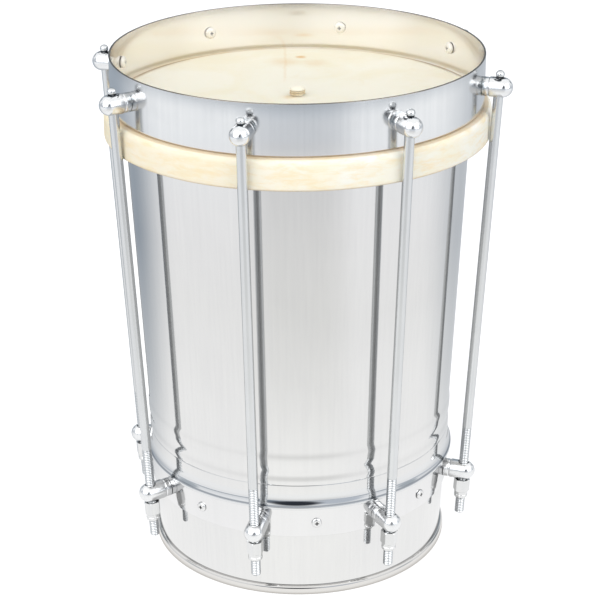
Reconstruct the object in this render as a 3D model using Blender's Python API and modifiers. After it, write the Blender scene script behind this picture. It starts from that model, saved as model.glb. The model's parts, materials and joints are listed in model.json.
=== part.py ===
"""A cuica: a conical friction drum with a hide head, eight tension rods and a stick tied to the skin.

The drum stands on the hem of its shell, with the axis of the shell along +Z and the head on top.
All sizes are real sizes in metres.
"""

import math

import bmesh
import bpy
from mathutils import Matrix, Vector

MM = 0.001

# Clearance between pieces that touch on the real drum
GAP = 0.3 * MM

# Shell: a spun metal cone, narrow end down
SHELL_HEIGHT = 310.8 * MM
SHELL_TOP_R = 112.2 * MM
SHELL_FOOT_R = 98.0 * MM
SHELL_WALL = 0.8 * MM
BEARING_ROLL_R = 1.5 * MM
STIFFENING_BEAD_TOP_Z = 105.0 * MM
STIFFENING_BEAD_BOTTOM_Z = 91.5 * MM
STIFFENING_BEAD_SLOPE = 3.6 * MM
STIFFENING_BEAD_RISE = 0.6 * MM
STEP_TOP_Z = 89.8 * MM
STEP_BOTTOM_Z = 84.6 * MM
STEP_RISE = 0.7 * MM
FLARE_START_RISE = 1.0 * MM
FLARE_R = 10.4 * MM
LIP_RISE = 3.7 * MM
LIP_THICKNESS = 1.6 * MM
LIP_ROUND = 0.5 * MM
HEM_FACE_HEIGHT = 3.9 * MM
HEM_RISE = 2.5 * MM
HEM_ROUND = 2.3 * MM
HEM_FOOT_ROUND = 1.2 * MM

# Band round the shell that carries the lower lugs
BAND_BOTTOM_Z = 45.0 * MM
BAND_HEIGHT = 20.6 * MM
BAND_WALL = 1.5 * MM

# Hide head on its flesh hoop
SKIN = 0.8 * MM
SKIN_RUN = 0.5 * MM
HOOP_DROP = 2.2 * MM
FLESH_HEIGHT = 17.4 * MM
FLESH_WIDTH = 7.65 * MM
SHOULDER_R = 4.5 * MM
TUCK_DEPTH = 8.0 * MM

# Counterhoop that presses on the flesh hoop
COUNTERHOOP_INSET = 4.7 * MM
COUNTERHOOP_WALL = 1.2 * MM
COUNTERHOOP_HEIGHT = 32.4 * MM
COUNTERHOOP_EDGE = 0.3 * MM

# Lugs: round posts with a half-ball end
LUGS = 8
FIRST_LUG_DEG = 22.5
LUG_R = 6.35 * MM
UPPER_ROD_REACH = 10.5 * MM
LOWER_ROD_REACH = 13.2 * MM
UPPER_TIP_REACH = 2.3 * MM
LOWER_TIP_REACH = 1.7 * MM
COLLAR_LENGTH = 3.6 * MM
GROOVE_DEPTH = 0.6 * MM
SEAT_BORE_DEPTH = 2.5 * MM

# Tension rods and their nuts
ROD_R = 3.175 * MM
SPIGOT_R = 1.9 * MM
ROD_HEAD_R = 2.8 * MM
ROD_HEAD_HEIGHT = 4.2 * MM
ROD_NECK_R = 2.35 * MM
ROD_NECK_HEIGHT = 1.7 * MM
ROD_END_ROUND = 1.6 * MM
ROD_END = 12.2 * MM
NUT_FLAT_R = 4.8 * MM
NUT_HEIGHT = 13.8 * MM
NUT_CHAMFER = 0.5 * MM
NUT_COLLAR_R = 4.6 * MM
NUT_COLLAR_HEIGHT = 5.0 * MM
TUNING_TRAVEL = 6.0 * MM
SIDE_PLAY = 0.12 * MM

# Screws
LUG_SCREW_R = 2.0 * MM
LUG_SCREW_GRIP = 6.0 * MM
LUG_SCREW_HEAD_R = 4.0 * MM
LUG_SCREW_HEAD_HEIGHT = 2.2 * MM
BAND_SCREW_R = 1.6 * MM
BAND_SCREW_HEAD_R = 3.3 * MM
BAND_SCREW_HEAD_HEIGHT = 1.5 * MM
BAND_SCREW_SHIFT = -3.2 * MM
BAND_SCREW_TAIL = 1.0 * MM
CROSS_LENGTH = 3.2 * MM
CROSS_WIDTH = 0.8 * MM
CROSS_DEPTH = 0.9 * MM
BAND_NUT_FLAT_R = 3.0 * MM
BAND_NUT_HEIGHT = 2.6 * MM

# Stick, the hide nub that holds its tip, and the thread tied round the nub
STICK_R = 3.0 * MM
STICK_LENGTH = 271.0 * MM
STICK_NODE_R = 3.5 * MM
STICK_NODE_Z = 118.0 * MM
TIP_R = 2.85 * MM
TIP_HEIGHT = 4.4 * MM
TIP_RUN = 0.35 * MM
NUB_WALL = 0.8 * MM
NUB_HEAD_R = 4.9 * MM
NUB_CROWN = 1.4 * MM
THREAD_R = 0.4 * MM
THREAD_TURNS = 2
THREAD_GAP = 0.45 * MM

# Facets
RING_SIDES = 48
LUG_SIDES = 10
ROD_SIDES = 8
SCREW_SIDES = 8
HEX_SIDES = 6
NUT_SIDES = 24
NUB_SIDES = 16
THREAD_POINTS = 24
ARC_STEPS = 3
SMOOTH_ANGLE = math.radians(35)
MERGE = 0.00001

# Worked out: the cone
CONE_SLOPE = (SHELL_TOP_R - SHELL_FOOT_R) / SHELL_HEIGHT
CONE_ANGLE = math.atan(CONE_SLOPE)


def cone_r(z):
    """Outer radius of the plain cone at height z."""
    return SHELL_FOOT_R + CONE_SLOPE * z


def flat_r(radius):
    """Radius of the middle of a facet on a ring of this radius, where fittings sit."""
    return radius * math.cos(math.pi / RING_SIDES)


def around(radius, sides):
    """Corner radius of a hole with this many sides that clears a round pin of this radius."""
    return radius / math.cos(math.pi / sides)


# Worked out: heights and radii of the head
SKIN_BOTTOM_Z = SHELL_HEIGHT + GAP
SKIN_TOP_Z = SKIN_BOTTOM_Z + SKIN
ROLL_CENTRE_R = SHELL_TOP_R - SHELL_WALL / 2
ROLL_CENTRE_Z = SHELL_HEIGHT - BEARING_ROLL_R
SKIN_EDGE_IN_R = ROLL_CENTRE_R + BEARING_ROLL_R + GAP
SKIN_EDGE_R = SKIN_EDGE_IN_R + SKIN
TUCK_IN_R = SKIN_EDGE_R + SKIN_RUN
FLESH_IN_R = TUCK_IN_R + SKIN + GAP
FLESH_OUT_R = FLESH_IN_R + FLESH_WIDTH
TUCK_OUT_R = FLESH_OUT_R + GAP + SKIN
TUCK_TOP_Z = SKIN_TOP_Z - HOOP_DROP
FLESH_TOP_Z = TUCK_TOP_Z - SKIN - GAP
FLESH_BOTTOM_Z = FLESH_TOP_Z - FLESH_HEIGHT
TUCK_BOTTOM_Z = FLESH_BOTTOM_Z - GAP - SKIN
HOOP_R = TUCK_OUT_R - COUNTERHOOP_INSET
HOOP_BOTTOM_Z = TUCK_TOP_Z + GAP
HOOP_TOP_Z = HOOP_BOTTOM_Z + COUNTERHOOP_HEIGHT

# Worked out: the band and the lip above it
BAND_TOP_Z = BAND_BOTTOM_Z + BAND_HEIGHT
LIP_BOTTOM_Z = BAND_TOP_Z + GAP
LIP_TOP_Z = LIP_BOTTOM_Z + LIP_THICKNESS
BAND_FACE = GAP + BAND_WALL

# Worked out: lug centres and the line of the rod between them, in the plane of the first lug
UPPER_LUG_Z = HOOP_BOTTOM_Z + COUNTERHOOP_HEIGHT / 2
LOWER_LUG_Z = BAND_BOTTOM_Z + BAND_HEIGHT / 2
LOWER_LUG_R = flat_r(cone_r(LOWER_LUG_Z))
ROD_TOP_R = flat_r(HOOP_R) + UPPER_ROD_REACH
ROD_LOW_R = LOWER_LUG_R + (BAND_FACE + LOWER_ROD_REACH) * math.cos(CONE_ANGLE)
ROD_LOW_Z = LOWER_LUG_Z - (BAND_FACE + LOWER_ROD_REACH) * math.sin(CONE_ANGLE)
ROD_TILT = math.atan2(ROD_TOP_R - ROD_LOW_R, UPPER_LUG_Z - ROD_LOW_Z)
ROD_SPAN = math.hypot(ROD_TOP_R - ROD_LOW_R, UPPER_LUG_Z - ROD_LOW_Z)
ROD_RUN = TUNING_TRAVEL * math.tan(ROD_TILT) + SIDE_PLAY
NUT_TOP = LUG_R + GAP

# Worked out: the stick, its nub and the thread round the nub's neck
NUB_BOTTOM_Z = SKIN_TOP_Z + GAP
THREAD_PITCH = 2 * THREAD_R + THREAD_GAP
THREAD_START = THREAD_R + GAP / 2
NUB_NECK = THREAD_START + THREAD_TURNS * THREAD_PITCH + THREAD_R + GAP
SOCKET_R = TIP_R + TIP_RUN
NUB_NECK_R = SOCKET_R + NUB_WALL
SKIN_HOLE_R = around(STICK_R + TIP_RUN, RING_SIDES)


def clear_scene():
    for old in list(bpy.data.objects):
        bpy.data.objects.remove(old, do_unlink=True)


def new_collection(name):
    collection = bpy.data.collections.new(name)
    bpy.context.scene.collection.children.link(collection)
    return collection


def new_material(name, colour, roughness, metallic):
    material = bpy.data.materials.new(name)
    material.use_nodes = True
    shader = material.node_tree.nodes["Principled BSDF"]
    shader.inputs["Base Color"].default_value = (*colour, 1.0)
    shader.inputs["Roughness"].default_value = roughness
    shader.inputs["Metallic"].default_value = metallic
    return material


def evaluated_mesh(obj):
    """The mesh of an object with its modifiers worked in."""
    bpy.context.view_layer.update()
    depsgraph = bpy.context.evaluated_depsgraph_get()
    mesh = bpy.data.meshes.new_from_object(obj.evaluated_get(depsgraph))
    mesh.name = obj.name
    return mesh


def turned(name, profile, sides, ring):
    """Turn a profile of (radius, height) points about Z; a ring's profile is a closed loop."""
    count = len(profile)
    edges = [(i, i + 1) for i in range(count - 1)]
    if ring:
        edges.append((count - 1, 0))
    outline = bpy.data.meshes.new(name)
    outline.from_pydata([(r, 0.0, z) for r, z in profile], edges, [])
    obj = bpy.data.objects.new(name, outline)
    cutters.objects.link(obj)
    screw = obj.modifiers.new("Turn", "SCREW")
    screw.axis = "Z"
    screw.angle = 2 * math.pi
    screw.steps = sides
    screw.render_steps = sides
    screw.use_merge_vertices = True
    screw.merge_threshold = MERGE
    mesh = evaluated_mesh(obj)
    bpy.data.objects.remove(obj, do_unlink=True)
    bpy.data.meshes.remove(outline)
    return mesh


def turned_ring(name, profile):
    """A ring round the drum, its facets square to the lugs and to the screws between them."""
    mesh = turned(name, profile, RING_SIDES, ring=True)
    mesh.transform(Matrix.Rotation(math.pi / RING_SIDES, 4, "Z"))
    return mesh


def joined(name, mesh, places):
    """One mesh that holds a copy of a mesh at each place."""
    group = bmesh.new()
    for place in places:
        copy = mesh.copy()
        copy.transform(place)
        group.from_mesh(copy)
        bpy.data.meshes.remove(copy)
    result = bpy.data.meshes.new(name)
    group.to_mesh(result)
    group.free()
    return result


def cut(mesh, tool_meshes, operation="DIFFERENCE"):
    """Take the tools out of a mesh, or use another Boolean operation."""
    body = bpy.data.objects.new(mesh.name, mesh)
    cutters.objects.link(body)
    tools = []
    for tool_mesh in tool_meshes:
        tool = bpy.data.objects.new(tool_mesh.name, tool_mesh)
        tool.hide_render = True
        tool.display_type = "WIRE"
        cutters.objects.link(tool)
        tools.append(tool)
        boolean = body.modifiers.new("Cut", "BOOLEAN")
        boolean.operation = operation
        boolean.solver = "EXACT"
        boolean.object = tool
    result = evaluated_mesh(body)
    for obj in [body, *tools]:
        bpy.data.objects.remove(obj, do_unlink=True)
    return result


def place_piece(name, mesh, material, place=None, parent=None):
    """Add one finished piece to the drum."""
    mesh.materials.clear()
    mesh.materials.append(material)
    mesh.shade_smooth()
    mesh.set_sharp_from_angle(angle=SMOOTH_ANGLE)
    obj = bpy.data.objects.new(name, mesh)
    drum.objects.link(obj)
    if parent:
        obj.parent = parent
    if place:
        obj.matrix_world = place
    return obj


def joint_empty(name, place):
    """An empty that stands on a joint and carries the pieces that move with it."""
    empty = bpy.data.objects.new(name, None)
    empty.empty_display_size = 20 * MM
    empty.matrix_world = place
    drum.objects.link(empty)
    return empty


def arc(centre_r, centre_z, radius, start_deg, end_deg, steps=ARC_STEPS):
    """Points on an arc, both ends included; 0 degrees points outward and 90 up."""
    points = []
    for i in range(steps + 1):
        angle = math.radians(start_deg + (end_deg - start_deg) * i / steps)
        points.append((centre_r + radius * math.cos(angle), centre_z + radius * math.sin(angle)))
    return points


def dome(radius, base, height, steps=ARC_STEPS):
    """Points down a domed end, from its top on the axis to its rim at the base."""
    points = []
    for i in range(steps + 1):
        angle = math.pi / 2 * i / steps
        points.append((radius * math.sin(angle), base + height * math.cos(angle)))
    return points


def lug_angles():
    """Angles of the lugs and rods round the drum."""
    return [math.radians(FIRST_LUG_DEG) + 2 * math.pi * i / LUGS for i in range(LUGS)]


def between_angles():
    """Angles halfway between the lugs."""
    return [angle + math.pi / LUGS for angle in lug_angles()]


def hoop_seat(angle):
    """Frame on the counterhoop at a lug, with X outward and Z up."""
    return Matrix.Rotation(angle, 4, "Z") @ Matrix.Translation((flat_r(HOOP_R), 0, UPPER_LUG_Z))


def shell_seat(angle, shift=0.0):
    """Frame on the cone at the height of the lower lugs, with X square to the cone."""
    on_cone = Matrix.Translation((LOWER_LUG_R, shift, LOWER_LUG_Z))
    return Matrix.Rotation(angle, 4, "Z") @ on_cone @ Matrix.Rotation(CONE_ANGLE, 4, "Y")


def rod_seat(angle):
    """Frame on the rod where it crosses the upper lug, with Z up along the rod."""
    crossing = Matrix.Translation((ROD_TOP_R, 0, UPPER_LUG_Z))
    return Matrix.Rotation(angle, 4, "Z") @ crossing @ Matrix.Rotation(ROD_TILT, 4, "Y")


def nut_seat(angle):
    """Frame on the rod where it crosses the lower lug, with Z up along the rod."""
    return rod_seat(angle) @ Matrix.Translation((0, 0, -ROD_SPAN))


def along_x(mesh):
    """Lay a turned mesh down, so that its top points along +X."""
    mesh.transform(Matrix.Rotation(math.pi / 2, 4, "Y"))
    return mesh


def plain_pin(name, radius, low, high, sides):
    """A round pin along Z, with flat ends."""
    return turned(name, [(0, high), (radius, high), (radius, low), (0, low)], sides, ring=False)


def on_shell(rise, z):
    """Profile point that stands this far out from the cone."""
    return (cone_r(z) + rise, z)


def bead_points():
    """The wide, shallow bead that stiffens the lower shell, and the step out below it."""
    return [
        on_shell(0, STIFFENING_BEAD_TOP_Z),
        on_shell(STIFFENING_BEAD_RISE, STIFFENING_BEAD_TOP_Z - STIFFENING_BEAD_SLOPE),
        on_shell(STIFFENING_BEAD_RISE, STIFFENING_BEAD_BOTTOM_Z + STIFFENING_BEAD_SLOPE),
        on_shell(0, STIFFENING_BEAD_BOTTOM_Z),
        on_shell(0, STEP_TOP_Z),
        on_shell(STEP_RISE, STEP_BOTTOM_Z),
    ]


def flare_points():
    """The round flare that ends in the lip over the band, and the step back to the cone."""
    turn = math.acos(1 - (LIP_RISE - FLARE_START_RISE) / FLARE_R)
    top = LIP_TOP_Z + FLARE_R * math.sin(turn)
    points = []
    for i in range(ARC_STEPS + 1):
        angle = turn * i / ARC_STEPS
        rise = FLARE_START_RISE + FLARE_R * (1 - math.cos(angle))
        points.append(on_shell(rise, top - FLARE_R * math.sin(angle)))
    lip_r = cone_r(LIP_TOP_Z) + LIP_RISE
    points.append((lip_r, LIP_BOTTOM_Z + LIP_ROUND))
    points.append((lip_r - LIP_ROUND, LIP_BOTTOM_Z))
    points.append((cone_r(LIP_BOTTOM_Z), LIP_BOTTOM_Z))
    return points


def hem_points():
    """The rolled hem that the drum stands on."""
    top_middle = SHELL_FOOT_R + HEM_RISE - HEM_ROUND
    foot_middle = SHELL_FOOT_R + HEM_RISE - HEM_FOOT_ROUND
    top = arc(top_middle, HEM_FACE_HEIGHT, HEM_ROUND, 85, 0, steps=ARC_STEPS)
    return top + arc(foot_middle, HEM_FOOT_ROUND, HEM_FOOT_ROUND, 0, -90, steps=2)


def make_shell():
    """The turned shell, with holes for the lug screws and the band screws."""
    roll = arc(ROLL_CENTRE_R, ROLL_CENTRE_Z, BEARING_ROLL_R, 90, -60, steps=4)
    inner_top_z = ROLL_CENTRE_Z - BEARING_ROLL_R
    inner = [(SHELL_FOOT_R - SHELL_WALL, 0.0), (cone_r(inner_top_z) - SHELL_WALL, inner_top_z)]
    roll_inside = arc(ROLL_CENTRE_R, ROLL_CENTRE_Z, BEARING_ROLL_R, 210, 120, steps=2)
    below_roll = [(cone_r(inner_top_z), inner_top_z)]
    outside = roll + below_roll + bead_points() + flare_points() + hem_points()
    mesh = turned_ring("shell", outside + inner + roll_inside)
    return cut(mesh, screw_hole_cutters(SHELL_WALL))


def make_band():
    """The band, parallel to the cone, with the same holes as the shell."""
    profile = [
        (cone_r(BAND_TOP_Z) + BAND_FACE, BAND_TOP_Z),
        (cone_r(BAND_BOTTOM_Z) + BAND_FACE, BAND_BOTTOM_Z),
        (cone_r(BAND_BOTTOM_Z) + GAP, BAND_BOTTOM_Z),
        (cone_r(BAND_TOP_Z) + GAP, BAND_TOP_Z),
    ]
    return cut(turned_ring("lug_band", profile), screw_hole_cutters(SHELL_WALL))


def screw_hole_cutters(depth):
    """Pins for the holes through the shell and the band, as one cutter for each kind of screw."""
    low = -2 * depth
    high = BAND_FACE + depth
    lug_hole_r = around(LUG_SCREW_R + GAP, SCREW_SIDES)
    band_hole_r = around(BAND_SCREW_R + GAP, SCREW_SIDES)
    lug_pin = along_x(plain_pin("lug_screw_hole", lug_hole_r, low, high, SCREW_SIDES))
    band_pin = along_x(plain_pin("band_screw_hole", band_hole_r, low, high, SCREW_SIDES))
    lug_places = [shell_seat(angle) for angle in lug_angles()]
    band_places = [shell_seat(angle, BAND_SCREW_SHIFT) for angle in between_angles()]
    return [joined("lug_holes", lug_pin, lug_places), joined("band_holes", band_pin, band_places)]


def make_counterhoop():
    """The plain metal hoop, with a hole for each upper lug screw."""
    inner = HOOP_R - COUNTERHOOP_WALL
    profile = [
        (HOOP_R - COUNTERHOOP_EDGE, HOOP_TOP_Z),
        (HOOP_R, HOOP_TOP_Z - COUNTERHOOP_EDGE),
        (HOOP_R, HOOP_BOTTOM_Z),
        (inner, HOOP_BOTTOM_Z),
        (inner, HOOP_TOP_Z - COUNTERHOOP_EDGE),
        (inner + COUNTERHOOP_EDGE, HOOP_TOP_Z),
    ]
    hole_r = around(LUG_SCREW_R + GAP, SCREW_SIDES)
    reach = 2 * COUNTERHOOP_WALL
    pin = along_x(plain_pin("hoop_hole", hole_r, -reach, reach / 2, SCREW_SIDES))
    holes = joined("hoop_holes", pin, [hoop_seat(angle) for angle in lug_angles()])
    return cut(turned_ring("counterhoop", profile), [holes])


def make_flesh_hoop():
    """The wooden hoop inside the wrapped hide."""
    corner = SHOULDER_R - SKIN - GAP
    profile = [(FLESH_IN_R, FLESH_TOP_Z)]
    profile += arc(FLESH_OUT_R - corner, FLESH_TOP_Z - corner, corner, 90, 0)
    profile += [(FLESH_OUT_R, FLESH_BOTTOM_Z), (FLESH_IN_R, FLESH_BOTTOM_Z)]
    return turned_ring("flesh_hoop", profile)


def make_tucked_hide():
    """The hide wrapped round the flesh hoop, open on the inside above the tucked end."""
    tuck_top = TUCK_BOTTOM_Z + TUCK_DEPTH
    centre_r = TUCK_OUT_R - SHOULDER_R
    centre_z = TUCK_TOP_Z - SHOULDER_R
    outside = [(FLESH_IN_R - GAP, TUCK_TOP_Z)]
    outside += arc(centre_r, centre_z, SHOULDER_R, 90, 0)
    outside += [(TUCK_OUT_R, TUCK_BOTTOM_Z + SKIN), (TUCK_OUT_R - SKIN, TUCK_BOTTOM_Z)]
    outside += [(TUCK_IN_R, TUCK_BOTTOM_Z), (TUCK_IN_R, tuck_top)]
    inside = [(TUCK_IN_R + SKIN, tuck_top), (TUCK_IN_R + SKIN, TUCK_BOTTOM_Z + SKIN)]
    inside += [(TUCK_OUT_R - SKIN, TUCK_BOTTOM_Z + SKIN)]
    inside += arc(centre_r, centre_z, SHOULDER_R - SKIN, 0, 90)
    inside += [(FLESH_IN_R - GAP, TUCK_TOP_Z - SKIN)]
    return turned_ring("tucked_hide", outside + inside)


def make_playing_skin():
    """The stretched hide over the bearing edge, with the hole where the stick comes through."""
    profile = [
        (SKIN_EDGE_IN_R - SKIN / 2, SKIN_TOP_Z),
        (SKIN_EDGE_R, SKIN_TOP_Z - SKIN),
        (SKIN_EDGE_R, ROLL_CENTRE_Z),
        (SKIN_EDGE_IN_R, ROLL_CENTRE_Z),
        (SKIN_EDGE_IN_R, SKIN_BOTTOM_Z),
        (SKIN_HOLE_R, SKIN_BOTTOM_Z),
        (SKIN_HOLE_R, SKIN_TOP_Z),
    ]
    return turned_ring("playing_skin", profile)


def lug_blank(name, tip_centre, foot):
    """A post along +X from the face it stands on, with the given profile points at its foot."""
    groove_end = COLLAR_LENGTH + 2 * GROOVE_DEPTH
    profile = dome(LUG_R, tip_centre, LUG_R)
    profile += [
        (LUG_R, groove_end),
        (LUG_R - GROOVE_DEPTH, COLLAR_LENGTH + GROOVE_DEPTH),
        (LUG_R - GROOVE_DEPTH / 2, COLLAR_LENGTH),
        (LUG_R - GROOVE_DEPTH / 2, GAP),
    ]
    return along_x(turned(name, profile + foot, LUG_SIDES, ring=False))


def screw_foot(face):
    """Profile points of a lug screw, from its thread down to a pan head against the face."""
    head = dome(LUG_SCREW_HEAD_R, face, -LUG_SCREW_HEAD_HEIGHT)
    return [(LUG_SCREW_R, face)] + head[::-1]


def make_upper_lug():
    """An upper lug: the rod's body seats from below and its riveted spigot comes out on top."""
    body_r = around(ROD_R + GAP, ROD_SIDES)
    spigot_r = around(SPIGOT_R + GAP, ROD_SIDES)
    seat_z = SEAT_BORE_DEPTH - LUG_R
    profile = [
        (0, 2 * LUG_R),
        (spigot_r, 2 * LUG_R),
        (spigot_r, seat_z),
        (body_r, seat_z),
        (body_r, -2 * LUG_R),
        (0, -2 * LUG_R),
    ]
    bore = turned("upper_rod_bore", profile, ROD_SIDES, ring=False)
    crossing = Matrix.Translation((UPPER_ROD_REACH, 0, 0))
    bore.transform(crossing @ Matrix.Rotation(ROD_TILT, 4, "Y"))
    blank = lug_blank("upper_lug", UPPER_ROD_REACH + UPPER_TIP_REACH, [(0, GAP)])
    hole_r = around(LUG_SCREW_R + GAP, SCREW_SIDES)
    hole = plain_pin("tapped_hole", hole_r, -LUG_R, LUG_SCREW_GRIP + 2 * GAP, SCREW_SIDES)
    return cut(blank, [bore, along_x(hole)])


def make_lower_lug():
    """A lower lug with its screw from inside the shell; the rod slides through the lug."""
    bore_r = around(ROD_R + ROD_RUN, ROD_SIDES)
    bore = plain_pin("lower_rod_bore", bore_r, -2 * LUG_R, 2 * LUG_R, ROD_SIDES)
    crossing = Matrix.Translation((LOWER_ROD_REACH, 0, 0))
    bore.transform(crossing @ Matrix.Rotation(ROD_TILT - CONE_ANGLE, 4, "Y"))
    foot = [(LUG_SCREW_R, GAP)] + screw_foot(-BAND_FACE - SHELL_WALL - GAP)
    return cut(lug_blank("lower_lug", LOWER_ROD_REACH + LOWER_TIP_REACH, foot), [bore])


def make_rod():
    """A tension rod along Z, from its riveted head down to the rounded end below the nut."""
    head_low = LUG_R + GAP
    shoulder = SEAT_BORE_DEPTH - LUG_R - GAP
    end = -(ROD_SPAN + NUT_TOP + NUT_HEIGHT + ROD_END)
    profile = dome(ROD_HEAD_R, head_low + ROD_NECK_HEIGHT, ROD_HEAD_HEIGHT - ROD_NECK_HEIGHT, steps=2)
    profile += [
        (ROD_NECK_R, head_low),
        (SPIGOT_R, head_low),
        (SPIGOT_R, shoulder),
        (ROD_R, shoulder),
        (ROD_R, end + ROD_END_ROUND),
        (ROD_R - ROD_END_ROUND / 2, end),
        (0, end),
    ]
    return turned("tension_rod", profile, ROD_SIDES, ring=False)


def make_nut():
    """A long hexagon nut with a round collar below, hung from its seat under the lug."""
    corner_r = around(NUT_FLAT_R, HEX_SIDES)
    bore_r = around(ROD_R + ROD_RUN, ROD_SIDES)
    low = -NUT_TOP - NUT_HEIGHT
    collar_top = low + NUT_COLLAR_HEIGHT
    outline = [
        (0, -NUT_TOP),
        (corner_r - NUT_CHAMFER, -NUT_TOP),
        (corner_r + NUT_CHAMFER, -NUT_TOP - NUT_CHAMFER),
        (corner_r + NUT_CHAMFER, collar_top),
        (NUT_COLLAR_R, collar_top),
        (NUT_COLLAR_R, low),
        (0, low),
    ]
    turning = turned("nut_outline", outline, NUT_SIDES, ring=False)
    hexagon = plain_pin("tension_nut", corner_r, low - NUT_HEIGHT, NUT_HEIGHT, HEX_SIDES)
    bore = plain_pin("nut_bore", bore_r, low - 2 * NUT_HEIGHT, 2 * NUT_HEIGHT, ROD_SIDES)
    return cut(cut(hexagon, [turning], "INTERSECT"), [bore])


def make_upper_lug_screw():
    """The pan-head screw along +X that holds an upper lug, its head inside the counterhoop."""
    profile = [(0, LUG_SCREW_GRIP), (LUG_SCREW_R, LUG_SCREW_GRIP)]
    profile += screw_foot(-COUNTERHOOP_WALL - GAP)
    return along_x(turned("upper_lug_screw", profile, SCREW_SIDES, ring=False))


def make_cross_slots(top):
    """Two crossed slots in a screw head whose top is at this height along +X."""
    slots = []
    for length, width in ((CROSS_LENGTH, CROSS_WIDTH), (CROSS_WIDTH, CROSS_LENGTH)):
        slot = bmesh.new()
        bmesh.ops.create_cube(slot, size=1.0)
        bmesh.ops.scale(slot, vec=Vector((2 * CROSS_DEPTH, length, width)), verts=slot.verts)
        bmesh.ops.translate(slot, vec=Vector((top, 0, 0)), verts=slot.verts)
        mesh = bpy.data.meshes.new("cross_slot")
        slot.to_mesh(mesh)
        slot.free()
        slots.append(mesh)
    return slots


def make_band_screw():
    """A low cross-head screw along +X, through the band and the shell, with its nut inside."""
    face = BAND_FACE + GAP
    top = face + BAND_SCREW_HEAD_HEIGHT
    nut_face = -SHELL_WALL - GAP
    nut_back = nut_face - BAND_NUT_HEIGHT
    profile = dome(BAND_SCREW_HEAD_R, face, BAND_SCREW_HEAD_HEIGHT, steps=2)
    profile += [
        (BAND_SCREW_R, face),
        (BAND_SCREW_R, nut_back - BAND_SCREW_TAIL),
        (0, nut_back - BAND_SCREW_TAIL),
    ]
    screw = along_x(turned("band_screw", profile, SCREW_SIDES, ring=False))
    corner_r = around(BAND_NUT_FLAT_R, HEX_SIDES)
    screw_nut = along_x(plain_pin("band_screw_nut", corner_r, nut_back, nut_face, HEX_SIDES))
    return cut(cut(screw, make_cross_slots(top)), [screw_nut], "UNION")


def make_nub():
    """The hide nub that covers the stick's tip, with a neck for the thread; the skin is at z = 0."""
    socket_top = TIP_HEIGHT + TIP_RUN
    socket_r = around(SOCKET_R, NUB_SIDES)
    profile = dome(NUB_HEAD_R, NUB_NECK, socket_top + NUB_CROWN - NUB_NECK)
    profile += [
        (NUB_NECK_R, NUB_NECK),
        (NUB_NECK_R, 0),
        (socket_r, 0),
        (socket_r, socket_top),
        (0, socket_top),
    ]
    return turned("skin_nub", profile, NUB_SIDES, ring=False)


def thread_points():
    """The winding's centre line: an even helix round the nub's neck."""
    radius = NUB_NECK_R + GAP + THREAD_R
    points = []
    for i in range(THREAD_TURNS * THREAD_POINTS + 1):
        turn = i / THREAD_POINTS
        angle = 2 * math.pi * turn
        z = THREAD_START + THREAD_PITCH * turn
        points.append(Vector((radius * math.cos(angle), radius * math.sin(angle), z)))
    return points


def print_thread_gap(points):
    """Print the least gap between turns of the winding."""
    least = math.inf
    for i, first in enumerate(points):
        for second in points[i + THREAD_POINTS // 2:]:
            least = min(least, (first - second).length - 2 * THREAD_R)
    print(f"nub_binding: least gap to itself {least / MM:.2f} mm")


def make_binding():
    """The thread wound round the nub's neck, as one unbroken tube."""
    points = thread_points()
    print_thread_gap(points)
    curve = bpy.data.curves.new("nub_binding", "CURVE")
    curve.dimensions = "3D"
    curve.bevel_depth = THREAD_R
    curve.bevel_resolution = 1
    curve.use_fill_caps = True
    spline = curve.splines.new("POLY")
    spline.points.add(len(points) - 1)
    for target, point in zip(spline.points, points):
        target.co = (*point, 1.0)
    obj = bpy.data.objects.new("nub_binding", curve)
    cutters.objects.link(obj)
    mesh = evaluated_mesh(obj)
    bpy.data.objects.remove(obj, do_unlink=True)
    tube = bmesh.new()
    tube.from_mesh(mesh)
    bmesh.ops.remove_doubles(tube, verts=tube.verts, dist=MERGE)
    tube.to_mesh(mesh)
    tube.free()
    return mesh


def make_stick():
    """The bamboo stick, hung from z = 0 at the skin, with its tip above and a node on the way down."""
    node = 2 * STICK_R
    profile = [
        (0, TIP_HEIGHT),
        (TIP_R, TIP_HEIGHT),
        (TIP_R, 0),
        (STICK_R, -SKIN),
        (STICK_R, node - STICK_NODE_Z),
        (STICK_NODE_R, -STICK_NODE_Z),
        (STICK_R, -node - STICK_NODE_Z),
        (STICK_R, STICK_R / 2 - STICK_LENGTH),
        (STICK_R / 2, -STICK_LENGTH),
        (0, -STICK_LENGTH),
    ]
    return turned("stick", profile, NUB_SIDES, ring=False)


clear_scene()
drum = new_collection("cuica")
cutters = new_collection("cutters")

POLISHED_METAL = new_material("polished_metal", (0.80, 0.81, 0.83), 0.16, 1.0)
BRUSHED_METAL = new_material("brushed_metal", (0.78, 0.78, 0.79), 0.30, 1.0)
CHROME = new_material("chrome", (0.86, 0.87, 0.89), 0.08, 1.0)
HIDE = new_material("hide", (0.90, 0.84, 0.70), 0.55, 0.0)
TUCKED = new_material("tucked_hide", (0.84, 0.70, 0.46), 0.45, 0.0)
WOOD = new_material("hoop_wood", (0.55, 0.38, 0.22), 0.6, 0.0)
BAMBOO = new_material("bamboo", (0.74, 0.58, 0.34), 0.5, 0.0)
THREAD = new_material("waxed_thread", (0.42, 0.26, 0.13), 0.7, 0.0)

hoop_joint = joint_empty("hoop_slide", Matrix.Translation((0, 0, HOOP_BOTTOM_Z)))
nub_joint = joint_empty("stick_lean", Matrix.Translation((0, 0, NUB_BOTTOM_Z)))

place_piece("shell", make_shell(), BRUSHED_METAL)
place_piece("lug_band", make_band(), POLISHED_METAL)
place_piece("playing_skin", make_playing_skin(), HIDE)

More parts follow.
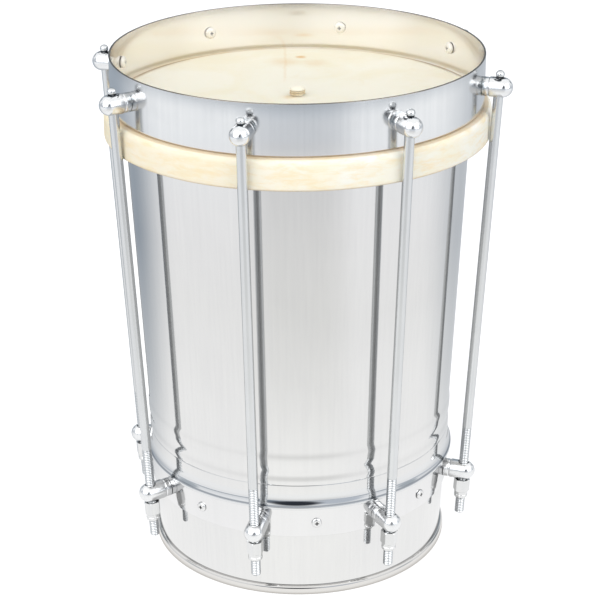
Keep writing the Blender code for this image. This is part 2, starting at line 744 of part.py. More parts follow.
place_piece("counterhoop", make_counterhoop(), CHROME, Matrix(), hoop_joint)
place_piece("flesh_hoop", make_flesh_hoop(), WOOD, Matrix(), hoop_joint)
place_piece("tucked_hide", make_tucked_hide(), TUCKED, Matrix(), hoop_joint)

upper_lug = make_upper_lug()
lower_lug = make_lower_lug()
upper_screw = make_upper_lug_screw()
rod = make_rod()
nut = make_nut()
for number, lug_angle in enumerate(lug_angles(), start=1):
    place_piece(f"upper_lug_{number}", upper_lug, CHROME, hoop_seat(lug_angle), hoop_joint)
    place_piece(f"upper_lug_screw_{number}", upper_screw, CHROME, hoop_seat(lug_angle), hoop_joint)
    place_piece(f"tension_rod_{number}", rod, CHROME, rod_seat(lug_angle), hoop_joint)
    on_band = shell_seat(lug_angle) @ Matrix.Translation((BAND_FACE, 0, 0))
    place_piece(f"lower_lug_{number}", lower_lug, CHROME, on_band)
    place_piece(f"tension_nut_{number}", nut, CHROME, nut_seat(lug_angle))

band_screw = make_band_screw()
for number, angle in enumerate(between_angles(), start=1):
    place_piece(f"band_screw_{number}", band_screw, CHROME, shell_seat(angle, BAND_SCREW_SHIFT))

at_nub = Matrix.Translation((0, 0, NUB_BOTTOM_Z))
place_piece("skin_nub", make_nub(), HIDE, at_nub, nub_joint)
place_piece("nub_binding", make_binding(), THREAD, at_nub, nub_joint)
place_piece("stick", make_stick(), BAMBOO, at_nub, nub_joint)
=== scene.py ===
"""The looks of a cuica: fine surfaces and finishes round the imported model, the light and the camera.

The drum stands on the floor at z = 0 with its axis along +Z. All sizes are real sizes in metres.
"""

import json
import math

import bmesh
import bpy
from mathutils import Matrix, Vector, noise

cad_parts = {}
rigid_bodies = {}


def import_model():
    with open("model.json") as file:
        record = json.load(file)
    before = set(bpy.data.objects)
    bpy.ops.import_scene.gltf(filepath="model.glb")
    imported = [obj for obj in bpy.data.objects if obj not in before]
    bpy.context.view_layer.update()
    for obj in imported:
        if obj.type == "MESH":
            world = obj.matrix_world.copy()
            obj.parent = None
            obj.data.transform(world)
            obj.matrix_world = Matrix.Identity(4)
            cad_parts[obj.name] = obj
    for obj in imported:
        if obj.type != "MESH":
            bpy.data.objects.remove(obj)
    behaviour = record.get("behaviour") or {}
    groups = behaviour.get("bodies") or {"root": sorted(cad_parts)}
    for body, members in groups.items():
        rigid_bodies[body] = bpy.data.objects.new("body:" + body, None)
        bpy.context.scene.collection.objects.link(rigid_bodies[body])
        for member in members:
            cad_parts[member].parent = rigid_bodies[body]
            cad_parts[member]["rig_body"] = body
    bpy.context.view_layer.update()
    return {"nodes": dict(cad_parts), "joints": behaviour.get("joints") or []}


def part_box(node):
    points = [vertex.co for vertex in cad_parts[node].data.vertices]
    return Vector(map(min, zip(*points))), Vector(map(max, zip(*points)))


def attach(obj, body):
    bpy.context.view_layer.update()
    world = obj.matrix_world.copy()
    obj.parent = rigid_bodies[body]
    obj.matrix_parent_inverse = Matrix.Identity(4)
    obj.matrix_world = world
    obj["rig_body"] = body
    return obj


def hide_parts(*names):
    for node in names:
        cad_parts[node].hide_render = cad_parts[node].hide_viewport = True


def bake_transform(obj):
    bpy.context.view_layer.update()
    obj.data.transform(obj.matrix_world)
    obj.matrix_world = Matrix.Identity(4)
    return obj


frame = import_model()

MM = 0.001
GAP = 0.3 * MM
MERGE = 0.00001

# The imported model's rings have this many sides, their facets square to the lugs
PACKED_SIDES = 48
FACET_SHARE = math.cos(math.pi / PACKED_SIDES)

# Shell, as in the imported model
SHELL_TOP_R = 112.2 * MM
SHELL_FOOT_R = 98.0 * MM
SHELL_WALL = 0.8 * MM
BEARING_ROLL_R = 1.5 * MM
BEAD_TOP_Z = 105.0 * MM
BEAD_BOTTOM_Z = 91.5 * MM
BEAD_SLOPE = 3.6 * MM
BEAD_RISE = 0.6 * MM
STEP_TOP_Z = 89.8 * MM
STEP_BOTTOM_Z = 84.6 * MM
STEP_RISE = 0.7 * MM
CREASE_Z = 82.6 * MM
CREASE_WIDTH = 0.8 * MM
CREASE_DEPTH = 0.18 * MM
FLARE_START_RISE = 1.0 * MM
FLARE_R = 10.4 * MM
LIP_RISE = 3.7 * MM
LIP_THICKNESS = 1.6 * MM
HEM_FACE_HEIGHT = 3.9 * MM
HEM_RISE = 2.5 * MM
HEM_ROUND = 2.3 * MM
HEM_FOOT_ROUND = 1.2 * MM
BAND_WALL = 1.5 * MM
COUNTERHOOP_WALL = 1.2 * MM

# Hide
SKIN = 0.8 * MM
SHOULDER_R = 4.5 * MM
TUCK_DEPTH = 8.0 * MM

# Name under which the hide keeps its places at rest, for its paint
REST_PLACE = "rest_place"

# Lugs
LUG_R = 6.35 * MM
UPPER_ROD_REACH = 10.5 * MM
LOWER_ROD_REACH = 13.2 * MM
UPPER_TIP_REACH = 2.3 * MM
LOWER_TIP_REACH = 1.7 * MM
COLLAR_LENGTH = 3.6 * MM
GROOVE_DEPTH = 0.6 * MM
SEAT_BORE_DEPTH = 2.5 * MM

# Rods, their thread and their nuts
ROD_R = 3.175 * MM
SPIGOT_R = 1.9 * MM
ROD_HEAD_R = 2.8 * MM
ROD_HEAD_HEIGHT = 4.2 * MM
ROD_NECK_R = 2.35 * MM
ROD_NECK_HEIGHT = 1.7 * MM
ROD_END = 12.2 * MM
ROD_CHAMFER = 0.7 * MM
PITCH = 1.27 * MM
THREAD_CUT = 0.42 * MM
THREAD_ABOVE_LUG = 34.0 * MM
THREAD_FADE = 2.5 * MM
NUT_FLAT_R = 4.8 * MM
NUT_HEIGHT = 13.8 * MM
NUT_CHAMFER = 0.5 * MM
NUT_COLLAR_R = 4.6 * MM
NUT_COLLAR_HEIGHT = 5.0 * MM
NUT_COLLAR_ROUND = 0.9 * MM
NUT_GROOVE = 0.3 * MM
ROD_RUN = 0.45 * MM

# Screws
LUG_SCREW_R = 2.0 * MM
LUG_SCREW_GRIP = 6.0 * MM
LUG_SCREW_HEAD_R = 4.0 * MM
LUG_SCREW_HEAD_HEIGHT = 2.2 * MM
BAND_SCREW_R = 1.6 * MM
BAND_SCREW_HEAD_R = 3.3 * MM
BAND_SCREW_HEAD_HEIGHT = 1.5 * MM
BAND_SCREW_SHIFT = -3.2 * MM
BAND_SCREW_TAIL = 1.0 * MM
BAND_NUT_FLAT_R = 3.0 * MM
BAND_NUT_HEIGHT = 2.6 * MM
CROSS_LENGTH = 3.6 * MM
CROSS_WIDTH = 1.0 * MM
CROSS_DEPTH = 1.9 * MM
CROSS_TAPER = 0.55

# Stick, nub and thread
STICK_R = 3.0 * MM
STICK_LENGTH = 271.0 * MM
STICK_NODE_R = 3.5 * MM
STICK_NODES = (48.0 * MM, 118.0 * MM, 196.0 * MM)
TIP_R = 2.85 * MM
TIP_HEIGHT = 4.4 * MM
TIP_RUN = 0.35 * MM
NUB_WALL = 0.8 * MM
NUB_HEAD_R = 4.9 * MM
NUB_CROWN = 1.4 * MM
PUCKERS = 9
PUCKER_DEPTH = 0.12 * MM
LUMP_DEPTH = 0.18 * MM
LUMP_FINENESS = 380.0
THREAD_R = 0.4 * MM
THREAD_TURNS = 2
THREAD_GAP = 0.45 * MM

# How fine the surfaces are
RING_SIDES = 256
LUG_SIDES = 56
ROD_SIDES = 24
HOLE_SIDES = 24
HEX_SIDES = 6
NUB_SIDES = 48
ARC_STEPS = 10
CORNER_STEPS = 4
FLARE_STEPS = 14
THREAD_ROWS = 10
SMOOTH_ANGLE = math.radians(38)

# Worked out: the cone of the shell
SHELL_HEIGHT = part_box("shell")[1].z
CONE_SLOPE = (SHELL_TOP_R - SHELL_FOOT_R) / SHELL_HEIGHT
CONE_ANGLE = math.atan(CONE_SLOPE)


def cone_r(z):
    """Outer radius of the plain cone at height z."""
    return SHELL_FOOT_R + CONE_SLOPE * z


def ring_r(node):
    """Radius of the round ring that a faceted node stands for."""
    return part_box(node)[1].x / FACET_SHARE


def levels(node):
    """Heights of the bottom and the top of a node."""
    low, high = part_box(node)
    return low.z, high.z


# Worked out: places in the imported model
SKIN_TOP_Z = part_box("playing_skin")[1].z
SKIN_EDGE_R = ring_r("playing_skin")
TUCK_BOTTOM_Z, TUCK_TOP_Z = levels("tucked_hide")
TUCK_OUT_R = ring_r("tucked_hide")
FLESH_BOTTOM_Z, FLESH_TOP_Z = levels("flesh_hoop")
FLESH_OUT_R = ring_r("flesh_hoop")
FLESH_WIDTH = 7.65 * MM
FLESH_IN_R = FLESH_OUT_R - FLESH_WIDTH
TUCK_IN_R = FLESH_IN_R - GAP - SKIN
HOOP_BOTTOM_Z, HOOP_TOP_Z = levels("counterhoop")
HOOP_R = ring_r("counterhoop")
BAND_BOTTOM_Z, BAND_TOP_Z = levels("lug_band")
BAND_FACE = GAP + BAND_WALL
LIP_BOTTOM_Z = BAND_TOP_Z + GAP
LIP_TOP_Z = LIP_BOTTOM_Z + LIP_THICKNESS
UPPER_LUG_Z = (HOOP_BOTTOM_Z + HOOP_TOP_Z) / 2
LOWER_LUG_Z = (BAND_BOTTOM_Z + BAND_TOP_Z) / 2
LOWER_LUG_R = cone_r(LOWER_LUG_Z) * FACET_SHARE
ROD_LOW_Z = LOWER_LUG_Z - (BAND_FACE + LOWER_ROD_REACH) * math.sin(CONE_ANGLE)
NUB_BOTTOM_Z = SKIN_TOP_Z + GAP
NUT_TOP = LUG_R + GAP
THREAD_PITCH = 2 * THREAD_R + THREAD_GAP
THREAD_START = THREAD_R + GAP / 2
NUB_NECK = THREAD_START + THREAD_TURNS * THREAD_PITCH + THREAD_R + GAP
SOCKET_R = TIP_R + TIP_RUN
NUB_NECK_R = SOCKET_R + NUB_WALL
SKIN_HOLE_R = STICK_R + TIP_RUN

# Worked out: the rods' lines, from the joints of their nuts
ROD_JOINTS = [joint for joint in frame["joints"] if joint["name"].startswith("nut_turn")]


def bezier_corner(before, corner, after, size):
    """Points round a corner of the given size, between its two neighbours."""
    before, corner, after = Vector(before), Vector(corner), Vector(after)
    start_size = min(size, (before - corner).length / 2)
    end_size = min(size, (after - corner).length / 2)
    start = corner + (before - corner).normalized() * start_size
    end = corner + (after - corner).normalized() * end_size
    points = []
    for i in range(CORNER_STEPS + 1):
        t = i / CORNER_STEPS
        points.append(tuple(start * (1 - t) ** 2 + corner * 2 * t * (1 - t) + end * t ** 2))
    return points


def softened(points, closed):
    """Round the corners of a profile, whose (radius, height) points may have a corner size as well."""
    result = []
    for i, (radius, height, *size) in enumerate(points):
        is_end = not closed and i in (0, len(points) - 1)
        if any(size) and not is_end:
            before = points[i - 1][:2]
            after = points[(i + 1) % len(points)][:2]
            result += bezier_corner(before, (radius, height), after, size[0])
        else:
            result.append((radius, height))
    return result


def mesh_of(name, group):
    """Make a mesh of a group of vertices and faces."""
    mesh = bpy.data.meshes.new(name)
    group.to_mesh(mesh)
    group.free()
    return mesh


def add_object(name, data):
    """Put a new object with this data into the scene."""
    obj = bpy.data.objects.new(name, data)
    bpy.context.scene.collection.objects.link(obj)
    return obj


def turned(name, profile, sides, ring=False):
    """Turn (radius, height) points about Z; the profile runs down its outer side."""
    group = bmesh.new()
    rows = []
    for radius, height in profile:
        if radius < MERGE:
            rows.append([group.verts.new((0, 0, height))])
            continue
        row = []
        for k in range(sides):
            angle = 2 * math.pi * k / sides
            row.append(group.verts.new((radius * math.cos(angle), radius * math.sin(angle), height)))
        rows.append(row)
    pairs = list(zip(rows, rows[1:]))
    if ring:
        pairs.append((rows[-1], rows[0]))
    for upper, lower in pairs:
        for k in range(sides):
            after = k + 1
            corners = [upper[k % len(upper)], lower[k % len(lower)]]
            corners += [lower[after % len(lower)], upper[after % len(upper)]]
            group.faces.new(list(dict.fromkeys(corners)))
    return mesh_of(name, group)


def turned_ring(name, profile):
    """A closed ring about Z, with the corners of its profile rounded."""
    return turned(name, softened(profile, closed=True), RING_SIDES, ring=True)


def evaluated_mesh(obj):
    """The mesh of an object with its modifiers worked in."""
    bpy.context.view_layer.update()
    depsgraph = bpy.context.evaluated_depsgraph_get()
    mesh = bpy.data.meshes.new_from_object(obj.evaluated_get(depsgraph))
    mesh.name = obj.name
    return mesh


def cut(mesh, tool_meshes, operation="DIFFERENCE"):
    """Take the tools out of a mesh, or use another Boolean operation."""
    body = add_object(mesh.name, mesh)
    tools = [add_object(tool_mesh.name, tool_mesh) for tool_mesh in tool_meshes]
    for tool in tools:
        boolean = body.modifiers.new("Cut", "BOOLEAN")
        boolean.operation = operation
        boolean.solver = "EXACT"
        boolean.object = tool
    result = evaluated_mesh(body)
    for obj in [body, *tools]:
        bpy.data.objects.remove(obj, do_unlink=True)
    return result


def joined(name, mesh, places):
    """One mesh that holds a copy of a mesh at each place."""
    group = bmesh.new()
    for place in places:
        copy = mesh.copy()
        copy.transform(place)
        group.from_mesh(copy)
        bpy.data.meshes.remove(copy)
    return mesh_of(name, group)


def arc(centre_r, centre_z, radius, start_deg, end_deg, steps=ARC_STEPS):
    """Points on an arc, both ends included; 0 degrees points outward and 90 up."""
    angles = [math.radians(start_deg + (end_deg - start_deg) * i / steps) for i in range(steps + 1)]
    return [(centre_r + radius * math.cos(angle), centre_z + radius * math.sin(angle)) for angle in angles]


def quarter_turn(steps):
    """Angles from 0 to a quarter of a turn, both included."""
    return [math.pi / 2 * i / steps for i in range(steps + 1)]


def dome(radius, base, height, steps=ARC_STEPS):
    """Points down a domed end, from its top on the axis to its rim at the base."""
    return [(radius * math.sin(angle), base + height * math.cos(angle)) for angle in quarter_turn(steps)]


def eased(top, bottom, rise_top, rise_bottom):
    """Profile points down the shell whose rise over the cone changes without a corner."""
    points = []
    for i in range(ARC_STEPS + 1):
        share = i / ARC_STEPS
        ease = share * share * (3 - 2 * share)
        points.append(on_shell(rise_top + (rise_bottom - rise_top) * ease, top + (bottom - top) * share))
    return points


def pan_head(radius, base, height):
    """Points down a low screw head: nearly flat on top, with a round edge."""
    squareness = 0.7
    points = []
    for angle in quarter_turn(ARC_STEPS)[:-1]:
        out = radius * math.sin(angle) ** squareness
        points.append((out, base + height * math.cos(angle) ** squareness))
    return points + [(radius, base)]


def along_x(mesh):
    """Lay a turned mesh down, so that its top points along +X."""
    mesh.transform(Matrix.Rotation(math.pi / 2, 4, "Y"))
    return mesh


def plain_pin(name, radius, low, high, sides=HOLE_SIDES):
    """A round pin along Z, with flat ends."""
    return turned(name, [(0, high), (radius, high), (radius, low), (0, low)], sides)


def hex_corner_r(flat_r):
    """Distance of a hexagon's corners from its middle, from that of its flats."""
    return flat_r / math.cos(math.pi / HEX_SIDES)


def lug_angles():
    """Angles of the lugs and rods round the drum, in the order of the rods' joints."""
    return [math.atan2(joint["pos_m"][1], joint["pos_m"][0]) for joint in ROD_JOINTS]


def between_angles():
    """Angles halfway between the lugs."""
    return [angle + math.pi / len(ROD_JOINTS) for angle in lug_angles()]


def hoop_seat(angle):
    """Frame on the counterhoop at a lug, with X outward and Z up."""
    return Matrix.Rotation(angle, 4, "Z") @ Matrix.Translation((HOOP_R * FACET_SHARE, 0, UPPER_LUG_Z))


def shell_seat(angle, shift=0.0):
    """Frame on the cone at the height of the lower lugs, with X square to the cone."""
    on_cone = Matrix.Translation((LOWER_LUG_R, shift, LOWER_LUG_Z))
    return Matrix.Rotation(angle, 4, "Z") @ on_cone @ Matrix.Rotation(CONE_ANGLE, 4, "Y")


def rod_seat(joint, height):
    """Frame on a rod's line at a height, with Z up along the rod and X outward."""
    line = Vector(joint["axis"])
    point = Vector(joint["pos_m"])
    crossing = point + line * ((height - point.z) / line.z)
    turn = Matrix.Rotation(math.atan2(crossing.y, crossing.x), 4, "Z")
    return Matrix.Translation(crossing) @ turn @ Matrix.Rotation(rod_tilt(), 4, "Y")


def rod_tilt():
    """Angle between the rods and the axis of the drum."""
    return math.acos(ROD_JOINTS[0]["axis"][2])


def rod_span():
    """Length of a rod between its crossings with the two lugs."""
    return (UPPER_LUG_Z - ROD_LOW_Z) / math.cos(rod_tilt())


def smooth(mesh):
    """Round shading, with the real edges kept sharp."""
    mesh.shade_smooth()
    mesh.set_sharp_from_angle(angle=SMOOTH_ANGLE)


def dress(node, mesh, material, place=None):
    """Add a fine piece that stands for a node and moves with the node's body."""
    mesh.materials.clear()
    mesh.materials.append(material)
    smooth(mesh)
    obj = add_object(node + "_surface", mesh)
    if place:
        obj.matrix_world = place
    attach(obj, frame["nodes"][node]["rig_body"])
    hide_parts(node)


class Paint:
    """The nodes of a material or of the world, with short calls for those that the finishes use."""

    def __init__(self, owner):
        owner.use_nodes = True
        self.owner = owner
        self.tree = owner.node_tree
        self.tree.nodes.clear()

    def node(self, kind, inputs=None, **settings):
        """A node with these settings; its inputs are put by number or by name."""
        made = self.tree.nodes.new(kind)
        for name, value in settings.items():
            setattr(made, name, value)
        for key, value in (inputs or {}).items():
            self.put(made.inputs[key], value)
        return made

    def put(self, socket, value):
        """Link a socket to another socket, or set it to a plain value."""
        if isinstance(value, bpy.types.NodeSocket):
            self.tree.links.new(value, socket)
        elif isinstance(value, (tuple, list)) and len(value) == 3 and socket.type == "RGBA":
            socket.default_value = (*value, 1.0)
        else:
            socket.default_value = value

    def place(self):
        """Position in the object's own frame, in metres."""
        return self.node("ShaderNodeTexCoord").outputs["Object"]

    def math(self, operation, first, second=0.0):
        return self.node("ShaderNodeMath", {0: first, 1: second}, operation=operation).outputs[0]

    def plus(self, first, second):
        return self.math("ADD", first, second)

    def minus(self, first, second):
        return self.math("SUBTRACT", first, second)

    def times(self, first, second):
        return self.math("MULTIPLY", first, second)

    def vector(self, operation, first, second, output="Vector"):
        made = self.node("ShaderNodeVectorMath", {0: first, 1: second}, operation=operation)
        return made.outputs[output]

    def along(self, place, direction):
        """How far a place lies along a direction."""
        return self.vector("DOT_PRODUCT", place, direction, "Value")

    def height(self, place):
        return self.along(place, (0.0, 0.0, 1.0))

    def distance(self, place, axes):
        """Distance from the origin, along the axes that are given as 1."""
        return self.vector("LENGTH", self.vector("MULTIPLY", place, axes), (0.0, 0.0, 0.0), "Value")

    def length_xy(self, place):
        """Distance from the Z axis."""
        return self.distance(place, (1.0, 1.0, 0.0))

    def mix(self, share, first, second):
        return self.node("ShaderNodeMix", {0: share, 6: first, 7: second}, data_type="RGBA").outputs[2]

    def noise(self, place, scale, detail=3.0, rough=0.5, twist=0.0):
        inputs = {"Vector": place, "Scale": scale, "Detail": detail, "Roughness": rough, "Distortion": twist}
        return self.node("ShaderNodeTexNoise", inputs).outputs["Fac"]

    def spread(self, value, low, high, to_low=0.0, to_high=1.0):
        """Map a range smoothly to another one, and hold the ends."""
        inputs = dict(enumerate((value, low, high, to_low, to_high)))
        return self.node("ShaderNodeMapRange", inputs, interpolation_type="SMOOTHSTEP").outputs[0]

    def ramp(self, share, stops):
        made = self.node("ShaderNodeValToRGB", {0: share})
        elements = made.color_ramp.elements
        while len(elements) < len(stops):
            elements.new(0.5)
        for element, (position, colour) in zip(elements, stops):
            element.position = position
            element.color = (*colour, 1.0)
        return made.outputs[0]

    def bump(self, height, strength, distance, normal=None):
        inputs = {"Strength": strength, "Distance": distance, "Height": height}
        if normal is not None:
            inputs["Normal"] = normal
        return self.node("ShaderNodeBump", inputs).outputs["Normal"]

    def surface(self, **sockets):
        """The Principled shader and the output; names are the socket names with underscores."""
        inputs = {name.replace("_", " "): value for name, value in sockets.items()}
        shader = self.node("ShaderNodeBsdfPrincipled", inputs)
        self.node("ShaderNodeOutputMaterial", {0: shader.outputs[0]})
        return self.owner


def new_paint(name):
    return Paint(bpy.data.materials.new(name))


def plated(name, colour, dull, rough, streak, streak_size, wave=0.0, wave_size=60.0, tint=None):
    """Plated metal with fine streaks along Z, cloudy smudges and low waves.

    The function tint, if given, changes the colour by the place.
    """
    paint = new_paint(name)
    place = paint.place()
    long_place = paint.vector("MULTIPLY", place, (streak_size, streak_size, streak_size / STREAK_STRETCH))
    streaks = paint.noise(long_place, 1.0, 4.0, 0.6)
    clouds = paint.noise(place, CLOUD_SCALE, 4.0, 0.6, 0.4)
    tone = paint.plus(paint.times(streaks, streak), paint.times(clouds, 0.35))
    base = paint.mix(paint.spread(tone, 0.2, 0.2 + streak), colour, dull)
    if tint:
        base = tint(paint, place, base)
    shine = paint.spread(clouds, 0.3, 0.75, rough * 0.8, rough * 1.3)
    shine = paint.plus(shine, paint.times(streaks, 0.05))
    fine = paint.bump(streaks, 0.04, FINE_RELIEF)
    normal = paint.bump(paint.noise(place, wave_size, 1.0), 1.0, wave, fine)
    return paint.surface(Base_Color=base, Metallic=1.0, Roughness=shine, Normal=normal)


def hoop_tint(paint, place, base):
    """The hoop: a painted brighter reflection inside, a darker thin line at its upper edge, and painted
    brown shade at its lower edge, where it sits on the hide.
    """
    face = HOOP_R - COUNTERHOOP_WALL / 2
    # Painted brighter reflection on the inner face.
    inside = paint.spread(paint.length_xy(place), face, face - 0.2 * MM)
    base = paint.mix(inside, base, BRIGHT_INSIDE_REFLECTION)
    height = paint.height(place)
    # A darker thin line along the upper edge, and painted brown shade along the lower edge, where the hoop
    # sits on the hide.
    upper = paint.spread(height, HOOP_TOP_Z - 0.5 * MM, HOOP_TOP_Z - 0.15 * MM)
    lower = paint.spread(height, HOOP_BOTTOM_Z + 0.9 * MM, HOOP_BOTTOM_Z + 0.3 * MM, 0.0, 0.6)
    return paint.mix(lower, paint.mix(upper, base, HOOP_TOP_LINE), HIDE_BROWN)


def shell_tint(paint, place, base):
    """The shell: painted shade that dims the mirrored light at the hem and the flare, and a painted dark
    reflection in a thin line above the lip.
    """
    height = paint.height(place)
    # Painted shade: the hem is darkened to dim the light it mirrors.
    hem_top = HEM_FACE_HEIGHT + HEM_ROUND
    base = paint.mix(paint.spread(height, hem_top + 0.5 * MM, hem_top), base, HEM_DIMMED_REFLECTION)
    # Painted shade: the flare is darkened to dim the light it mirrors.
    flare = paint.minus(height, LIP_BOTTOM_Z)
    above = paint.spread(flare, 0.0, 0.1 * MM)
    below = paint.spread(flare, LIP_THICKNESS + 10 * MM, LIP_THICKNESS + 7 * MM)
    base = paint.mix(paint.times(above, below), base, FLARE_DIMMED_REFLECTION)
    # Painted dark reflection in a thin line where the flare meets the lip.
    line_start = paint.spread(flare, LIP_THICKNESS + 0.1 * MM, LIP_THICKNESS + 0.4 * MM, 0.0, 0.75)
    line_end = paint.spread(flare, LIP_THICKNESS + 1.5 * MM, LIP_THICKNESS + 0.9 * MM)
    return paint.mix(paint.times(line_start, line_end), base, LIP_DARK_REFLECTION)


def upper_lug_tint(paint, place, base):
    """Painted dark marks round the riveted head of the rod, standing in for its shade and reflections, and
    painted teal-grey shade at the foot next to the hoop.
    """
    # Painted dark marks round the rivet head, in patches, standing in for its shade and reflections.
    from_rod = paint.vector("SUBTRACT", place, (UPPER_ROD_REACH, 0.0, 0.0))
    ring = paint.spread(paint.length_xy(from_rod), 4.6 * MM, 3.9 * MM)
    on_top = paint.spread(paint.height(place), 2.8 * MM, 3.8 * MM)
    patches = paint.spread(paint.noise(place, 420.0, 2.0, 0.6), 0.44, 0.54)
    rivet_shade_mask = paint.times(paint.times(ring, on_top), patches)
    # Painted teal-grey shade where the lug meets the hoop.
    at_hoop = paint.spread(paint.along(place, X_AXIS), 3.2 * MM, 1.2 * MM, 0.0, 0.6)
    return paint.mix(rivet_shade_mask, paint.mix(paint.times(at_hoop, patches), base, LUG_FOOT_SHADE), RIVET_SHADE)


def rod_tint(paint, place, base):
    """Painted shade: the grooves of the rod's thread are a little darker, and its neck under the riveted
    head is dark.
    """
    height = paint.height(place)
    # Painted shade on the neck, under the riveted head.
    neck_top = LUG_R + GAP + ROD_NECK_HEIGHT
    neck = paint.spread(height, neck_top - 0.7 * MM, neck_top - 1.2 * MM)
    neck = paint.times(neck, paint.spread(height, LUG_R - 0.2 * MM, LUG_R))
    base = paint.mix(neck, base, RIVET_SHADE)
    # Painted shade in the grooves of the thread, on its lower part.
    cut_depth = paint.minus(ROD_R, paint.length_xy(place))
    groove = paint.spread(cut_depth, 0.12 * MM, THREAD_CUT)
    low_part = paint.spread(paint.plus(height, rod_span()), 60 * MM, 50 * MM)
    return paint.mix(paint.times(groove, low_part), base, THREAD_GROOVE_SHADE)


def screw_paint(name, head_top, rough, recess_shade, bright, dull, metal):
    """Zinc-plated screw head, with painted shade in the cross recess below the head's top along X."""
    paint = new_paint(name)
    place = paint.place()
    grain = paint.noise(place, 700.0, 3.0, 0.6)
    base = paint.mix(paint.spread(grain, 0.3, 0.7), bright, dull)
    # Painted shade in the cross recess.
    depth = paint.minus(paint.math("ABSOLUTE", paint.along(place, X_AXIS)), head_top)
    across = paint.distance(place, (0.0, 1.0, 1.0))
    sunk = paint.spread(depth, -0.1 * MM, -0.35 * MM)
    sunk = paint.times(sunk, paint.spread(across, 2.1 * MM, 1.9 * MM))
    base = paint.mix(sunk, base, (recess_shade, recess_shade, recess_shade))
    shine = paint.spread(grain, 0.3, 0.7, rough * 0.8, rough * 1.3)
    relief = paint.bump(grain, 0.1, FINE_RELIEF)
    return paint.surface(Base_Color=base, Metallic=metal, Roughness=shine, Normal=relief)


def skin_tone(paint, place, radius, patches, blotches):
    """The playing skin: pale, with warm clouds and stains, and painted yellow-brown shade near the rim."""
    tone = paint.mix(paint.spread(patches, 0.38, 0.7), SKIN_PALE, SKIN_WARM)
    tone = paint.mix(paint.spread(blotches, 0.56, 0.8, 0.0, 0.45), tone, SKIN_VEIN)
    for centre, reach, strength in SKIN_STAINS:
        away = paint.vector("DISTANCE", place, centre, "Value")
        edge = paint.plus(away, paint.times(blotches, reach * 0.9))
        stain = paint.spread(edge, reach * 1.45, reach * 0.5, 0.0, strength)
        tone = paint.mix(stain, tone, SKIN_STAIN)
    tone = paint.mix(spine_line(paint, place, blotches), tone, SKIN_STAIN)
    # Painted yellow-brown shade near the rim, next to the hoop.
    rim = paint.spread(radius, SKIN_EDGE_R - 6 * MM, SKIN_EDGE_R + 1 * MM, 0.0, 0.2)
    return paint.mix(rim, tone, HIDE_EDGE)


def wrapped_tone(paint, place, radius, patches):
    """The wrapped hide: yellower toward -X, streaked, brown at its lower edge, and painted brown shade at
    its upper edge under the hoop.
    """
    height = paint.height(place)
    tone = paint.mix(paint.spread(patches, 0.36, 0.68), HIDE_PALE, HIDE_WARM)
    golden = paint.spread(paint.along(place, X_AXIS), 50 * MM, -100 * MM, 0.0, 0.4)
    tone = paint.mix(golden, tone, HIDE_EDGE)
    stretched = paint.vector("MULTIPLY", place, (60.0, 60.0, 240.0))
    veins = paint.spread(paint.noise(stretched, 1.0, 5.0, 0.7, 0.4), 0.42, 0.72, 0.0, 0.6)
    tone = paint.mix(veins, tone, HIDE_EDGE)
    # Painted brown shade at the upper edge, where the hoop sits on the hide, and brown at the lower edge.
    shade_under_hoop = paint.spread(height, TUCK_TOP_Z - 1.0 * MM, TUCK_TOP_Z - 0.2 * MM, 0.0, 0.5)
    shade_under_hoop = paint.times(shade_under_hoop, paint.spread(radius, HOOP_R - 1.5 * MM, HOOP_R))
    near_bottom = paint.spread(height, TUCK_BOTTOM_Z + 2.0 * MM, TUCK_BOTTOM_Z, 0.0, 0.45)
    return paint.mix(paint.math("MAXIMUM", shade_under_hoop, near_bottom), tone, HIDE_BROWN)


def hide_paint():
    """Cream goat hide: pale and stained on top, yellower where it is wrapped round the flesh hoop."""
    paint = new_paint("hide_paint")
    place = paint.node("ShaderNodeAttribute", attribute_name=REST_PLACE).outputs["Vector"]
    radius = paint.length_xy(place)
    fibres = paint.noise(place, 900.0, 4.0, 0.6)
    pores = paint.noise(place, 260.0, 3.0, 0.6)
    patches = paint.noise(place, 16.0, 5.0, 0.62, 0.6)
    blotches = paint.noise(place, 55.0, 4.0, 0.65, 0.8)
    top = skin_tone(paint, place, radius, patches, blotches)
    side = wrapped_tone(paint, place, radius, patches)
    relief = paint.plus(paint.times(fibres, 0.25), paint.times(pores, 0.6))
    relief = paint.plus(relief, paint.times(blotches, 1.2))
    return paint.surface(
        Base_Color=paint.mix(paint.spread(radius, SKIN_EDGE_R, SKIN_EDGE_R + 2 * MM), top, side),
        Roughness=paint.spread(pores, 0.3, 0.7, 0.42, 0.58),
        Normal=paint.bump(relief, 0.35, 0.22 * MM),
        Subsurface_Weight=0.12,
        Subsurface_Radius=(4.0 * MM, 2.5 * MM, 1.5 * MM),
        Subsurface_Scale=0.6,
    )


def spine_line(paint, place, blotches):
    """How much of the faint line of the animal's back shows at a place on the skin."""
    start, end = Vector(SPINE_START), Vector(SPINE_END)
    along = (end - start).normalized()
    across = Vector((-along.y, along.x, 0.0))
    offset = paint.minus(paint.along(place, across), start.dot(across))
    offset = paint.plus(offset, paint.times(blotches, 3 * MM))
    offset = paint.math("ABSOLUTE", paint.minus(offset, 1.5 * MM))
    reach = paint.along(place, along)
    inside = paint.spread(reach, start.dot(along) - 10 * MM, start.dot(along) + 10 * MM)
    near = paint.spread(offset, 1.6 * MM, 0.2 * MM, 0.0, 0.16)
    return paint.times(inside, near)


